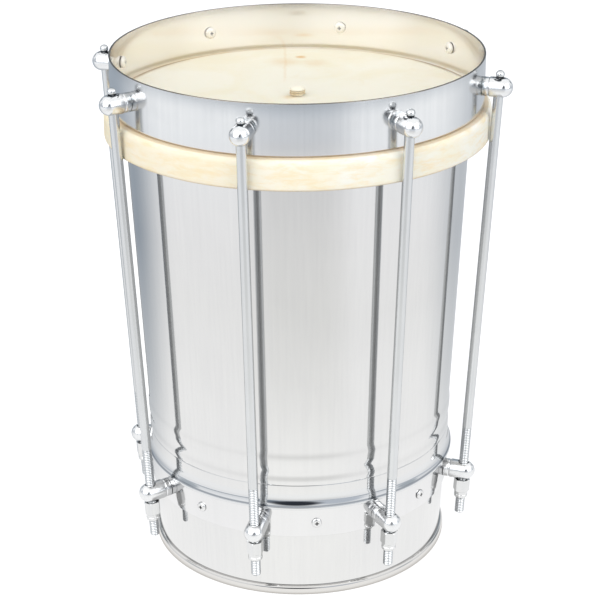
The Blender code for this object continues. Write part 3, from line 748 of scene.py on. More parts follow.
def nub_paint():
    """Hide pulled tight over the tip: pale crown, with painted brown shade low down and toward -X, broken
    into patches.
    """
    paint = new_paint("nub_paint")
    place = paint.place()
    height = paint.height(place)
    blotches = paint.noise(place, 420.0, 4.0, 0.6, 0.6)
    # Painted brown shade low on the nub and toward -X, broken into patches.
    side = paint.along(place, X_AXIS)
    low = paint.spread(height, 4.2 * MM, 1.6 * MM)
    low = paint.times(low, paint.spread(side, 2.0 * MM, -4.0 * MM, 0.1, 0.6))
    low = paint.times(low, paint.spread(blotches, 0.3, 0.65, 0.2, 1.0))
    base = paint.mix(low, SKIN_PALE, HIDE_BROWN)
    relief = paint.noise(place, 900.0, 3.0, 0.6)
    return paint.surface(Base_Color=base, Roughness=0.5, Normal=paint.bump(relief, 0.5, 0.2 * MM))


def wood_paint():
    """Bent hardwood with its grain round the hoop."""
    paint = new_paint("hoop_wood_paint")
    place = paint.place()
    across = paint.times(paint.length_xy(place), 2600.0)
    rings = paint.node("ShaderNodeCombineXYZ", {0: across, 2: paint.times(paint.height(place), 900.0)})
    grain = paint.noise(rings.outputs[0], 1.0, 4.0, 0.6, 0.5)
    base = paint.mix(paint.spread(grain, 0.3, 0.7), WOOD_LIGHT, WOOD_DARK)
    return paint.surface(Base_Color=base, Roughness=0.6, Normal=paint.bump(grain, 0.3, 0.1 * MM))


def bamboo_paint():
    """Split bamboo: long fibres, and darker rings at the nodes."""
    paint = new_paint("bamboo_paint")
    place = paint.place()
    height = paint.height(place)
    long_place = paint.vector("MULTIPLY", place, (1800.0, 1800.0, 22.0))
    fibres = paint.noise(long_place, 1.0, 4.0, 0.6)
    base = paint.mix(paint.spread(fibres, 0.3, 0.72), BAMBOO_LIGHT, BAMBOO_DARK)
    for depth in STICK_NODES:
        away = paint.math("ABSOLUTE", paint.plus(height, depth))
        base = paint.mix(paint.spread(away, 2.2 * MM, 0.3 * MM, 0.0, 0.75), base, BAMBOO_NODE)
    shine = paint.spread(fibres, 0.3, 0.7, 0.35, 0.5)
    return paint.surface(Base_Color=base, Roughness=shine, Normal=paint.bump(fibres, 0.3, 0.12 * MM))


def thread_paint():
    """Waxed cotton thread with its lay showing as fine slanting lines."""
    paint = new_paint("thread_paint")
    inputs = {"Vector": paint.place(), "Scale": 420.0, "Distortion": 1.5}
    wave = paint.node("ShaderNodeTexWave", inputs, wave_type="BANDS", bands_direction="DIAGONAL")
    lay = wave.outputs["Fac"]
    base = paint.mix(lay, THREAD_LIGHT, THREAD_DARK)
    return paint.surface(Base_Color=base, Roughness=0.6, Normal=paint.bump(lay, 0.6, 0.1 * MM))


# Directions and sizes that several finishes share
X_AXIS = (1.0, 0.0, 0.0)
STREAK_STRETCH = 90
CLOUD_SCALE = 22.0
FINE_RELIEF = 0.05 * MM

# Colours of the metal, the wood, the thread and the hide, linear
# Painted brighter reflection inside the hoop
BRIGHT_INSIDE_REFLECTION = (1.0, 0.985, 0.98)
HOOP_TOP_LINE = (0.30, 0.26, 0.22)
# Painted shade that dims the mirrored light at the hem and the flare
HEM_DIMMED_REFLECTION = (0.81, 0.795, 0.775)
FLARE_DIMMED_REFLECTION = (0.84, 0.85, 0.86)
# Painted shade in the thread's grooves
THREAD_GROOVE_SHADE = (0.64, 0.66, 0.68)
# Painted dark reflection above the lip
LIP_DARK_REFLECTION = (0.20, 0.23, 0.27)
# Painted shade round the rivet heads and at the upper lugs' feet
RIVET_SHADE = (0.05, 0.06, 0.07)
LUG_FOOT_SHADE = (0.30, 0.37, 0.41)
WOOD_LIGHT = (0.50, 0.32, 0.17)
WOOD_DARK = (0.26, 0.14, 0.06)
BAMBOO_LIGHT = (0.70, 0.50, 0.26)
BAMBOO_DARK = (0.46, 0.29, 0.12)
BAMBOO_NODE = (0.24, 0.13, 0.05)
THREAD_LIGHT = (0.82, 0.72, 0.52)
THREAD_DARK = (0.62, 0.48, 0.28)
SKIN_PALE = (0.91, 0.86, 0.72)
SKIN_WARM = (0.88, 0.81, 0.62)
SKIN_VEIN = (0.84, 0.73, 0.50)
SKIN_STAIN = (0.72, 0.42, 0.12)
HIDE_PALE = (0.99, 0.96, 0.87)
HIDE_WARM = (0.98, 0.91, 0.73)
# HIDE_EDGE also gives the painted shade near the skin's rim
HIDE_EDGE = (0.94, 0.74, 0.42)
# HIDE_BROWN also gives painted shade at the hoop's lower edge, on the hide under the hoop and low on the nub
HIDE_BROWN = (0.50, 0.32, 0.14)

# Plated metals: colour, duller colour, roughness, strength and fineness of the streaks, and of the waves
SHELL_METAL = ((0.875, 0.875, 0.87), (0.83, 0.83, 0.83), 0.045, 0.45, 420.0)
BAND_METAL = ((0.90, 0.90, 0.905), (0.86, 0.86, 0.865), 0.06, 0.4, 240.0)
HOOP_METAL = ((0.90, 0.905, 0.91), (0.83, 0.84, 0.85), 0.14, 0.5, 300.0)
ROD_METAL = ((0.82, 0.835, 0.845), (0.73, 0.75, 0.765), 0.20, 0.4, 900.0)
NUT_METAL = ((0.88, 0.885, 0.885), (0.80, 0.81, 0.815), 0.12, 0.3, 500.0)
CHROME = ((0.94, 0.95, 0.96), (0.88, 0.89, 0.90), 0.22, 0.3, 200.0, 0.02 * MM, 150.0)
UPPER_CHROME = (*CHROME[:2], 0.18, *CHROME[3:])

# Screw heads: roughness, tone of the painted shade in the recess, colour, duller colour, and how metallic
LUG_SCREW_METAL = (0.50, 0.75, (0.96, 0.93, 0.86), (0.91, 0.87, 0.78), 0.5)
BAND_SCREW_METAL = (0.10, 0.03, (0.93, 0.93, 0.93), (0.84, 0.845, 0.85), 1.0)

# Stains on the skin: place, reach and strength
SKIN_STAINS = (
    ((14.4 * MM, 89.7 * MM, SKIN_TOP_Z), 5.0 * MM, 0.9),
    ((2.5 * MM, 78.8 * MM, SKIN_TOP_Z), 16.0 * MM, 0.30),
    ((22.0 * MM, 72.0 * MM, SKIN_TOP_Z), 13.0 * MM, 0.22),
    ((-6.0 * MM, -3.0 * MM, SKIN_TOP_Z), 6.0 * MM, 0.35),
)
SPINE_START = (-3.4 * MM, 35.8 * MM, 0.0)
SPINE_END = (6.7 * MM, 109.1 * MM, 0.0)


def on_shell(rise, z, corner=0.0):
    """Profile point that stands this far out from the cone."""
    return (cone_r(z) + rise, z, corner)


def bead_points():
    """The wide, shallow bead that stiffens the lower shell."""
    slope = BEAD_SLOPE
    corner = slope / 2
    return [
        on_shell(0, BEAD_TOP_Z, corner),
        on_shell(BEAD_RISE, BEAD_TOP_Z - slope, corner),
        on_shell(BEAD_RISE, BEAD_BOTTOM_Z + slope, corner),
        on_shell(0, BEAD_BOTTOM_Z, corner),
    ]


def step_points():
    """The soft step out below the bead, and the fine crease under it."""
    points = eased(STEP_TOP_Z, STEP_BOTTOM_Z, 0, STEP_RISE)
    half = CREASE_WIDTH / 2
    points.append(on_shell(STEP_RISE, CREASE_Z + half, 0.15 * MM))
    points.append(on_shell(STEP_RISE - CREASE_DEPTH, CREASE_Z, 0.1 * MM))
    points.append(on_shell(STEP_RISE, CREASE_Z - half, 0.15 * MM))
    return points


def flare_points():
    """The round flare that ends in the lip over the band, and the step back to the cone."""
    turn = math.acos(1 - (LIP_RISE - FLARE_START_RISE) / FLARE_R)
    top = LIP_TOP_Z + FLARE_R * math.sin(turn)
    points = []
    for i in range(FLARE_STEPS):
        angle = turn * i / FLARE_STEPS
        rise = FLARE_START_RISE + FLARE_R * (1 - math.cos(angle))
        points.append(on_shell(rise, top - FLARE_R * math.sin(angle)))
    lip_r = cone_r(LIP_TOP_Z) + LIP_RISE
    points.append((lip_r, LIP_TOP_Z, 0.5 * MM))
    points.append((lip_r, LIP_BOTTOM_Z, 0.5 * MM))
    points.append((cone_r(LIP_BOTTOM_Z), LIP_BOTTOM_Z))
    return points


def hem_points():
    """The rolled hem that the drum stands on."""
    middle = SHELL_FOOT_R + HEM_RISE - HEM_ROUND
    foot_middle = SHELL_FOOT_R + HEM_RISE - HEM_FOOT_ROUND
    points = arc(middle, HEM_FACE_HEIGHT, HEM_ROUND, 88, 0)
    return points + arc(foot_middle, HEM_FOOT_ROUND, HEM_FOOT_ROUND, 0, -90)


def make_shell():
    """The turned shell, with holes for the lug screws and the band screws."""
    roll_r = SHELL_TOP_R - SHELL_WALL / 2
    roll_z = SHELL_HEIGHT - BEARING_ROLL_R
    inner_top = roll_z - BEARING_ROLL_R
    profile = arc(roll_r, roll_z, BEARING_ROLL_R, 90, -60, steps=12)
    profile.append((cone_r(inner_top), inner_top))
    profile += bead_points() + step_points() + flare_points() + hem_points()
    profile.append((SHELL_FOOT_R - SHELL_WALL, 0.0))
    profile.append((cone_r(inner_top) - SHELL_WALL, inner_top))
    profile += arc(roll_r, roll_z, BEARING_ROLL_R, 210, 120, steps=6)
    return cut(turned_ring("shell_surface", profile), screw_hole_cutters())


def make_band():
    """The band, parallel to the cone, with the same holes as the shell."""
    edge = 0.4 * MM
    profile = [
        (cone_r(BAND_TOP_Z) + BAND_FACE, BAND_TOP_Z, edge),
        (cone_r(BAND_BOTTOM_Z) + BAND_FACE, BAND_BOTTOM_Z, 0.25 * MM),
        (cone_r(BAND_BOTTOM_Z) + GAP, BAND_BOTTOM_Z, edge),
        (cone_r(BAND_TOP_Z) + GAP, BAND_TOP_Z, edge),
    ]
    return cut(turned_ring("lug_band_surface", profile), screw_hole_cutters())


def screw_hole_cutters():
    """Pins for the holes through the shell and the band, as one cutter for each kind of screw."""
    low = -2 * SHELL_WALL
    high = BAND_FACE + SHELL_WALL
    lug_pin = along_x(plain_pin("lug_screw_hole", LUG_SCREW_R + GAP, low, high))
    band_pin = along_x(plain_pin("band_screw_hole", BAND_SCREW_R + GAP, low, high))
    lug_places = [shell_seat(angle) for angle in lug_angles()]
    band_places = [shell_seat(angle, BAND_SCREW_SHIFT) for angle in between_angles()]
    return [joined("lug_holes", lug_pin, lug_places), joined("band_holes", band_pin, band_places)]


def make_counterhoop():
    """The plain metal hoop, with a hole for each upper lug screw."""
    inner = HOOP_R - COUNTERHOOP_WALL
    edge = 0.35 * MM
    beside_hole = LUG_R - 2 * MM
    profile = [
        (HOOP_R, HOOP_TOP_Z, edge),
        (HOOP_R, UPPER_LUG_Z + beside_hole),
        (HOOP_R, UPPER_LUG_Z - beside_hole),
        (HOOP_R, HOOP_BOTTOM_Z, edge),
        (inner, HOOP_BOTTOM_Z, edge),
        (inner, UPPER_LUG_Z - beside_hole),
        (inner, UPPER_LUG_Z + beside_hole),
        (inner, HOOP_TOP_Z, edge),
    ]
    reach = 2 * COUNTERHOOP_WALL
    pin = along_x(plain_pin("hoop_hole", LUG_SCREW_R + GAP, -reach, reach / 2))
    holes = joined("hoop_holes", pin, [hoop_seat(angle) for angle in lug_angles()])
    return cut(turned_ring("counterhoop_surface", profile), [holes])


def make_flesh_hoop():
    """The wooden hoop inside the wrapped hide."""
    edge = 0.8 * MM
    profile = [
        (FLESH_IN_R, FLESH_TOP_Z, edge),
        (FLESH_OUT_R, FLESH_TOP_Z, SHOULDER_R - SKIN - GAP),
        (FLESH_OUT_R, FLESH_BOTTOM_Z, edge),
        (FLESH_IN_R, FLESH_BOTTOM_Z, edge),
    ]
    return turned_ring("flesh_hoop_surface", profile)


def make_hide():
    """The whole hide: stretched over the bearing edge, then wrapped down round the flesh hoop."""
    tuck_top = TUCK_BOTTOM_Z + TUCK_DEPTH
    skin_bottom = SKIN_TOP_Z - SKIN
    edge = 0.35 * MM
    fold = 1.3 * MM
    rows = [(share * (SKIN_EDGE_R - 3 * MM), SKIN_TOP_Z) for share in (0.15, 0.4, 0.65, 0.85, 1.0)]
    profile = [(SKIN_HOLE_R, SKIN_TOP_Z)] + rows + [
        (SKIN_EDGE_R, SKIN_TOP_Z, 1.1 * MM),
        (SKIN_EDGE_R + 0.1 * MM, TUCK_TOP_Z, 0.9 * MM),
        (TUCK_OUT_R, TUCK_TOP_Z, SHOULDER_R),
        (TUCK_OUT_R, TUCK_BOTTOM_Z, fold),
        (TUCK_IN_R, TUCK_BOTTOM_Z, fold),
        (TUCK_IN_R, tuck_top, edge),
        (TUCK_IN_R + SKIN, tuck_top, edge),
        (TUCK_IN_R + SKIN, TUCK_BOTTOM_Z + SKIN, 0.5 * MM),
        (TUCK_OUT_R - SKIN, TUCK_BOTTOM_Z + SKIN, 0.5 * MM),
        (TUCK_OUT_R - SKIN, TUCK_TOP_Z - SKIN, SHOULDER_R - SKIN),
        (SKIN_EDGE_R - SKIN + 0.1 * MM, TUCK_TOP_Z - SKIN, 0.7 * MM),
        (SKIN_EDGE_R - SKIN, skin_bottom, 0.2 * MM),
        (SKIN_HOLE_R, skin_bottom),
    ]
    mesh = turned_ring("head_hide", profile)
    ripple_hide(mesh)
    keep_rest_places(mesh)
    return mesh


def keep_rest_places(mesh):
    """Store where each vertex is at rest, so that the paint goes along when the hide stretches."""
    places = mesh.attributes.new(REST_PLACE, "FLOAT_VECTOR", "POINT")
    for vertex, kept in zip(mesh.vertices, places.data):
        kept.vector = vertex.co


def ripple_hide(mesh):
    """Let the wrapped hide wander a little, as wet hide dries round its hoop."""
    reach = 0.16 * MM
    fineness = 70.0
    for vertex in mesh.vertices:
        radius = math.hypot(vertex.co.x, vertex.co.y)
        if radius > TUCK_OUT_R - SHOULDER_R and vertex.co.z < TUCK_TOP_Z - SKIN:
            shift = noise.noise(vertex.co * fineness) * reach
            vertex.co.x += shift * vertex.co.x / radius
            vertex.co.y += shift * vertex.co.y / radius


def lug_blank(name, tip_centre, foot):
    """A post along +X from the face it stands on, with the given profile points at its foot."""
    edge = 0.25 * MM
    groove_end = COLLAR_LENGTH + 2 * GROOVE_DEPTH
    profile = dome(LUG_R, tip_centre, LUG_R, steps=18) + [
        (LUG_R, groove_end, edge),
        (LUG_R - GROOVE_DEPTH, COLLAR_LENGTH + GROOVE_DEPTH, edge),
        (LUG_R - GROOVE_DEPTH / 2, COLLAR_LENGTH, edge),
        (LUG_R - GROOVE_DEPTH / 2, GAP, edge),
    ]
    return along_x(turned(name, softened(profile + foot, closed=False), LUG_SIDES))


def screw_foot(face):
    """Profile points of a lug screw, from its thread down to a pan head against the face."""
    head = pan_head(LUG_SCREW_HEAD_R, face, -LUG_SCREW_HEAD_HEIGHT)
    return [(LUG_SCREW_R, face)] + head[::-1]


def make_upper_lug():
    """An upper lug: the rod's body seats from below and its riveted spigot comes out on top."""
    body_r = ROD_R + GAP
    spigot_r = SPIGOT_R + GAP
    seat_z = SEAT_BORE_DEPTH - LUG_R
    profile = [
        (0, 2 * LUG_R),
        (spigot_r, 2 * LUG_R),
        (spigot_r, seat_z),
        (body_r, seat_z),
        (body_r, -2 * LUG_R),
        (0, -2 * LUG_R),
    ]
    bore = turned("upper_rod_bore", profile, HOLE_SIDES)
    crossing = Matrix.Translation((UPPER_ROD_REACH, 0, 0))
    bore.transform(crossing @ Matrix.Rotation(rod_tilt(), 4, "Y"))
    blank = lug_blank("upper_lug_surface", UPPER_ROD_REACH + UPPER_TIP_REACH, [(0, GAP)])
    hole = plain_pin("tapped_hole", LUG_SCREW_R + GAP, -LUG_R, LUG_SCREW_GRIP + 2 * GAP)
    return cut(blank, [bore, along_x(hole)])


def make_lower_lug():
    """A lower lug with its screw from inside the shell; the rod slides through the lug."""
    bore = plain_pin("lower_rod_bore", ROD_R + ROD_RUN, -2 * LUG_R, 2 * LUG_R)
    crossing = Matrix.Translation((LOWER_ROD_REACH, 0, 0))
    bore.transform(crossing @ Matrix.Rotation(rod_tilt() - CONE_ANGLE, 4, "Y"))
    face = -BAND_FACE - SHELL_WALL - GAP
    foot = [(LUG_SCREW_R, GAP)] + screw_foot(face)
    blank = lug_blank("lower_lug_surface", LOWER_ROD_REACH + LOWER_TIP_REACH, foot)
    return cut(blank, [bore] + cross_cutters(face - LUG_SCREW_HEAD_HEIGHT, -1))


def thread_depth(along, turn):
    """How deep the thread cuts at a place: distance along the rod from its end, and share of a turn."""
    wave = 0.5 - 0.5 * math.cos(2 * math.pi * (along / PITCH + turn))
    top = THREAD_ABOVE_LUG + NUT_TOP + NUT_HEIGHT + ROD_END
    fade = min(1.0, max(0.0, (top - along) / THREAD_FADE))
    return THREAD_CUT * wave * fade


def make_rod():
    """A tension rod along Z, from its riveted head down to the threaded end below the nut."""
    head_low = LUG_R + GAP
    shoulder = SEAT_BORE_DEPTH - LUG_R - GAP
    end = -(rod_span() + NUT_TOP + NUT_HEIGHT + ROD_END)
    thread_top = ROD_END + NUT_HEIGHT + NUT_TOP + THREAD_ABOVE_LUG
    neck = head_low + ROD_NECK_HEIGHT
    profile = dome(ROD_HEAD_R, neck, ROD_HEAD_HEIGHT - ROD_NECK_HEIGHT, steps=8)
    profile += [(ROD_NECK_R, head_low), (SPIGOT_R, head_low), (SPIGOT_R, shoulder)]
    profile += [(ROD_R - 0.3 * MM, shoulder), (ROD_R, shoulder - 0.3 * MM)]
    smooth_rows = len(profile)
    rows = int(thread_top / PITCH * THREAD_ROWS)
    profile += [(ROD_R, end + thread_top * (rows - i) / rows) for i in range(rows + 1)]
    profile.append((0, end))
    mesh = turned("tension_rod_surface", profile, ROD_SIDES)
    first = 1 + (smooth_rows - 1) * ROD_SIDES
    for vertex in list(mesh.vertices)[first:-1]:
        along = vertex.co.z - end
        turn = math.atan2(vertex.co.y, vertex.co.x) / (2 * math.pi)
        chamfer = max(0.0, ROD_CHAMFER - along)
        radius = ROD_R - max(chamfer, thread_depth(along, -turn))
        direction = Vector((vertex.co.x, vertex.co.y, 0)).normalized()
        vertex.co = direction * radius + Vector((0, 0, vertex.co.z))
    return mesh


def make_nut():
    """A long hexagon nut, chamfered at both ends, with a round, grooved collar below."""
    corner_r = hex_corner_r(NUT_FLAT_R)
    low = -NUT_TOP - NUT_HEIGHT
    collar_top = low + NUT_COLLAR_HEIGHT
    groove_z = low + NUT_COLLAR_HEIGHT / 2
    outline = [
        (0, -NUT_TOP),
        (corner_r - NUT_CHAMFER, -NUT_TOP),
        (corner_r + 0.1 * MM, -NUT_TOP - NUT_CHAMFER),
        (corner_r + 0.1 * MM, collar_top + NUT_CHAMFER),
        (corner_r - NUT_CHAMFER, collar_top),
        (NUT_COLLAR_R - NUT_GROOVE, collar_top),
        (NUT_COLLAR_R, collar_top - NUT_GROOVE),
        (NUT_COLLAR_R, groove_z + NUT_GROOVE),
        (NUT_COLLAR_R - NUT_GROOVE, groove_z),
        (NUT_COLLAR_R, groove_z - NUT_GROOVE),
    ]
    round_r = NUT_COLLAR_ROUND
    outline += arc(NUT_COLLAR_R - round_r, low + round_r, round_r, 0, -90, steps=4)
    outline.append((0, low))
    turning = turned("nut_outline", outline, 2 * LUG_SIDES)
    hexagon = plain_pin("tension_nut_surface", corner_r, low - NUT_HEIGHT, NUT_HEIGHT, HEX_SIDES)
    bore = plain_pin("nut_bore", ROD_R + ROD_RUN, low - 2 * NUT_HEIGHT, 2 * NUT_HEIGHT)
    return cut(cut(hexagon, [turning], "INTERSECT"), [bore])


def cross_cutters(top, side):
    """Two crossed tapering slots for a screw head whose top is at this height along X, on this side."""
    cutters = []
    for length, width in ((CROSS_LENGTH, CROSS_WIDTH), (CROSS_WIDTH, CROSS_LENGTH)):
        slot = bmesh.new()
        bmesh.ops.create_cube(slot, size=1.0)
        for vertex in slot.verts:
            is_deep = vertex.co.x * side < 0
            taper = CROSS_TAPER if is_deep else 1.0
            vertex.co.x *= 2 * CROSS_DEPTH
            vertex.co.y *= length * taper
            vertex.co.z *= width * taper
            vertex.co.x += top
        cutters.append(mesh_of("cross_slot", slot))
    return cutters


def make_upper_lug_screw():
    """The pan-head screw along +X that holds an upper lug, its cross-head inside the counterhoop."""
    face = -COUNTERHOOP_WALL - GAP
    profile = [(0, LUG_SCREW_GRIP), (LUG_SCREW_R, LUG_SCREW_GRIP)] + screw_foot(face)
    screw = along_x(turned("upper_lug_screw_surface", profile, LUG_SIDES))
    return cut(screw, cross_cutters(face - LUG_SCREW_HEAD_HEIGHT, -1))


def make_band_screw():
    """A low cross-head screw along +X, through the band and the shell, with its nut inside."""
    face = BAND_FACE + GAP
    top = face + BAND_SCREW_HEAD_HEIGHT
    nut_face = -SHELL_WALL - GAP
    nut_back = nut_face - BAND_NUT_HEIGHT
    tail = nut_back - BAND_SCREW_TAIL
    profile = pan_head(BAND_SCREW_HEAD_R, face, BAND_SCREW_HEAD_HEIGHT)
    profile += [(BAND_SCREW_R, face), (BAND_SCREW_R, tail), (0, tail)]
    screw = along_x(turned("band_screw_surface", profile, LUG_SIDES))
    corner_r = hex_corner_r(BAND_NUT_FLAT_R)
    screw_nut = along_x(plain_pin("band_screw_nut", corner_r, nut_back, nut_face, HEX_SIDES))
    return cut(cut(screw, cross_cutters(top, 1)), [screw_nut], "UNION")


def make_nub():
    """The hide nub over the stick's tip, with the uneven puckers of hide tied wet."""
    socket_top = TIP_HEIGHT + TIP_RUN
    profile = dome(NUB_HEAD_R, NUB_NECK, socket_top + NUB_CROWN - NUB_NECK) + [
        (NUB_NECK_R, NUB_NECK, 0.2 * MM),
        (NUB_NECK_R, 0),
        (SOCKET_R, 0),
        (SOCKET_R, socket_top, 0.2 * MM),
        (0, socket_top),
    ]
    mesh = turned("skin_nub_surface", softened(profile, closed=False), NUB_SIDES)
    for vertex in mesh.vertices:
        radius = math.hypot(vertex.co.x, vertex.co.y)
        if radius > NUB_NECK_R + THREAD_R or vertex.co.z > socket_top + TIP_RUN:
            angle = math.atan2(vertex.co.y, vertex.co.x)
            pucker = PUCKER_DEPTH * math.cos(PUCKERS * angle) * min(1.0, radius / NUB_HEAD_R)
            lump = LUMP_DEPTH * noise.noise(vertex.co * LUMP_FINENESS)
            inward = 1 - (abs(pucker) + abs(lump)) / NUB_HEAD_R
            vertex.co.x *= inward
            vertex.co.y *= inward
            vertex.co.z -= abs(lump)
    return mesh


def make_binding():
    """The thread wound round the nub's neck, as one unbroken tube."""
    points_per_turn = 48
    radius = NUB_NECK_R + GAP + THREAD_R
    curve = bpy.data.curves.new("nub_binding_surface", "CURVE")
    curve.dimensions = "3D"
    curve.bevel_depth = THREAD_R
    curve.bevel_resolution = 4
    curve.use_fill_caps = True
    spline = curve.splines.new("POLY")
    count = THREAD_TURNS * points_per_turn
    spline.points.add(count)
    for i, point in enumerate(spline.points):
        turn = i / points_per_turn
        angle = 2 * math.pi * turn
        z = THREAD_START + THREAD_PITCH * turn
        point.co = (radius * math.cos(angle), radius * math.sin(angle), z, 1.0)
    obj = add_object("nub_binding_surface", curve)
    mesh = evaluated_mesh(obj)
    bpy.data.objects.remove(obj, do_unlink=True)
    tube = bmesh.new()
    tube.from_mesh(mesh)
    bmesh.ops.remove_doubles(tube, verts=tube.verts, dist=MERGE)
    tube.to_mesh(mesh)
    tube.free()
    return mesh


def make_stick():
    """The bamboo stick, hung from z = 0 at the skin, with its tip above and its nodes on the way down."""
    points = [(0, TIP_HEIGHT), (TIP_R, TIP_HEIGHT, 0.6 * MM), (TIP_R, 0), (STICK_R, -SKIN)]
    swelling = 2 * STICK_R
    for depth in STICK_NODES:
        points.append((STICK_R, swelling - depth, 2 * MM))
        points.append((STICK_NODE_R, 0.6 * MM - depth, 0.4 * MM))
        points.append((STICK_NODE_R - 0.35 * MM, -depth, 0.2 * MM))
        points.append((STICK_NODE_R - 0.05 * MM, -0.7 * MM - depth, 0.4 * MM))
        points.append((STICK_R, -swelling - depth, 2 * MM))
    points += [(STICK_R, -STICK_LENGTH, 1.5 * MM), (0, -STICK_LENGTH)]
    return turned("stick_surface", softened(points, closed=False), NUB_SIDES)


def dress_rings():
    """The shell, the band, the hoops and the hide."""
    shell_metal = plated("shell_metal_paint", *SHELL_METAL, tint=shell_tint)
    band_metal = plated("band_metal_paint", *BAND_METAL)
    hoop_metal = plated("hoop_metal_paint", *HOOP_METAL, tint=hoop_tint)
    dress("shell", make_shell(), shell_metal)
    dress("lug_band", make_band(), band_metal)
    dress("counterhoop", make_counterhoop(), hoop_metal)
    dress("flesh_hoop", make_flesh_hoop(), wood_paint())
    mesh = make_hide()
    mesh.materials.append(hide_paint())
    smooth(mesh)
    hide = add_object("head_hide", mesh)
    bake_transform(hide)
    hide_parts("playing_skin", "tucked_hide")


def dress_fittings():
    """The lugs, rods, nuts and screws; each kind shares one mesh."""
    chrome = plated("chrome_paint", *CHROME)
    upper_chrome = plated("upper_chrome_paint", *UPPER_CHROME, upper_lug_tint)
    rod_metal = plated("rod_metal_paint", *ROD_METAL, tint=rod_tint)
    nut_metal = plated("nut_metal_paint", *NUT_METAL)
    lug_head_top = COUNTERHOOP_WALL + GAP + LUG_SCREW_HEAD_HEIGHT
    band_head_top = BAND_FACE + GAP + BAND_SCREW_HEAD_HEIGHT
    lug_screw_metal = screw_paint("lug_screw_paint", lug_head_top, *LUG_SCREW_METAL)
    band_screw_metal = screw_paint("band_screw_paint", band_head_top, *BAND_SCREW_METAL)
    upper_lug = make_upper_lug()
    lower_lug = make_lower_lug()
    upper_screw = make_upper_lug_screw()
    rod = make_rod()
    nut = make_nut()
    for number, (angle, joint) in enumerate(zip(lug_angles(), ROD_JOINTS), start=1):
        on_band = shell_seat(angle) @ Matrix.Translation((BAND_FACE, 0, 0))
        dress(f"upper_lug_{number}", upper_lug, upper_chrome, hoop_seat(angle))
        dress(f"upper_lug_screw_{number}", upper_screw, lug_screw_metal, hoop_seat(angle))
        dress(f"tension_rod_{number}", rod, rod_metal, rod_seat(joint, UPPER_LUG_Z))
        dress(f"lower_lug_{number}", lower_lug, chrome, on_band)
        dress(f"tension_nut_{number}", nut, nut_metal, rod_seat(joint, ROD_LOW_Z))
    band_screw = make_band_screw()
    for number, angle in enumerate(between_angles(), start=1):
        seat = shell_seat(angle, BAND_SCREW_SHIFT)
        dress(f"band_screw_{number}", band_screw, band_screw_metal, seat)


def dress_stick():
    """The stick, the nub over its tip and the thread round the nub."""
    at_nub = Matrix.Translation((0, 0, NUB_BOTTOM_Z))
    dress("skin_nub", make_nub(), nub_paint(), at_nub)
    dress("nub_binding", make_binding(), thread_paint(), at_nub)
    dress("stick", make_stick(), bamboo_paint(), at_nub)


# Camera, fitted to the photograph: place, direction, roll and focal length
CAMERA_PLACE = Vector((-0.1583, -1.1465, 0.6585))
CAMERA_FORWARD = Vector((0.1267, 0.9122, -0.3898))
CAMERA_ROLL_DEG = -0.32
CAMERA_LENS = 111.93
CAMERA_SENSOR = 36.0

# The floor as the camera sees it: its matt colour, and the strength of the white added to it
FLOOR_MATT = (0.55, 0.55, 0.56)
FLOOR_WHITE = 0.62

# Level direction from the drum to the camera, and tones that the polished metal mirrors
TO_CAMERA = Vector((CAMERA_PLACE.x, CAMERA_PLACE.y, 0)).normalized()
TO_RIGHT = Vector((-TO_CAMERA.y, TO_CAMERA.x, 0))
FLOOR_REACH = 1.6
FAR_REACH = 4.0
MIRROR_KEEP = 0.66
# Painted contact shadow near the foot, as the metal mirrors it
FLOOR_CONTACT_SHADOW = (0.50, 0.48, 0.45)
FLOOR_FRONT = ((0.15, (0.98, 0.98, 0.97)), (0.23, (0.86, 0.86, 0.85)), (0.31, (0.78, 0.78, 0.77)),
               (0.41, (0.74, 0.74, 0.74)), (0.56, (0.63, 0.64, 0.66)), (0.80, (0.67, 0.70, 0.74)),
               (1.0, (0.56, 0.60, 0.65)))
FLOOR_SIDE = ((0.08, (0.97, 0.97, 0.97)), (0.19, (0.94, 0.94, 0.94)), (0.31, (0.88, 0.88, 0.88)),
              (0.41, (0.89, 0.89, 0.90)), (0.56, (0.90, 0.92, 0.94)), (0.80, (0.97, 0.98, 0.99)),
              (1.0, (0.80, 0.83, 0.86)))
FLOOR_BACK = ((0.08, (0.66, 0.68, 0.70)), (0.19, (0.49, 0.52, 0.55)), (0.38, (0.31, 0.35, 0.40)),
              (0.80, (0.37, 0.42, 0.48)), (1.0, (0.29, 0.33, 0.38)))


def make_camera():
    data = bpy.data.cameras.new("camera")
    data.lens = CAMERA_LENS
    data.sensor_width = CAMERA_SENSOR
    camera = add_object("camera", data)
    aim = CAMERA_FORWARD.to_track_quat("-Z", "Y").to_matrix().to_4x4()
    roll = Matrix.Rotation(math.radians(CAMERA_ROLL_DEG), 4, "Z")
    camera.matrix_world = Matrix.Translation(CAMERA_PLACE) @ aim @ roll
    bpy.context.scene.camera = camera


def horizon_tone(paint, toward):
    """Tone of the studio at the horizon, darker on the camera's side."""
    return paint.mix(paint.spread(toward, -0.3, 0.6), HORIZON_BACK, HORIZON)


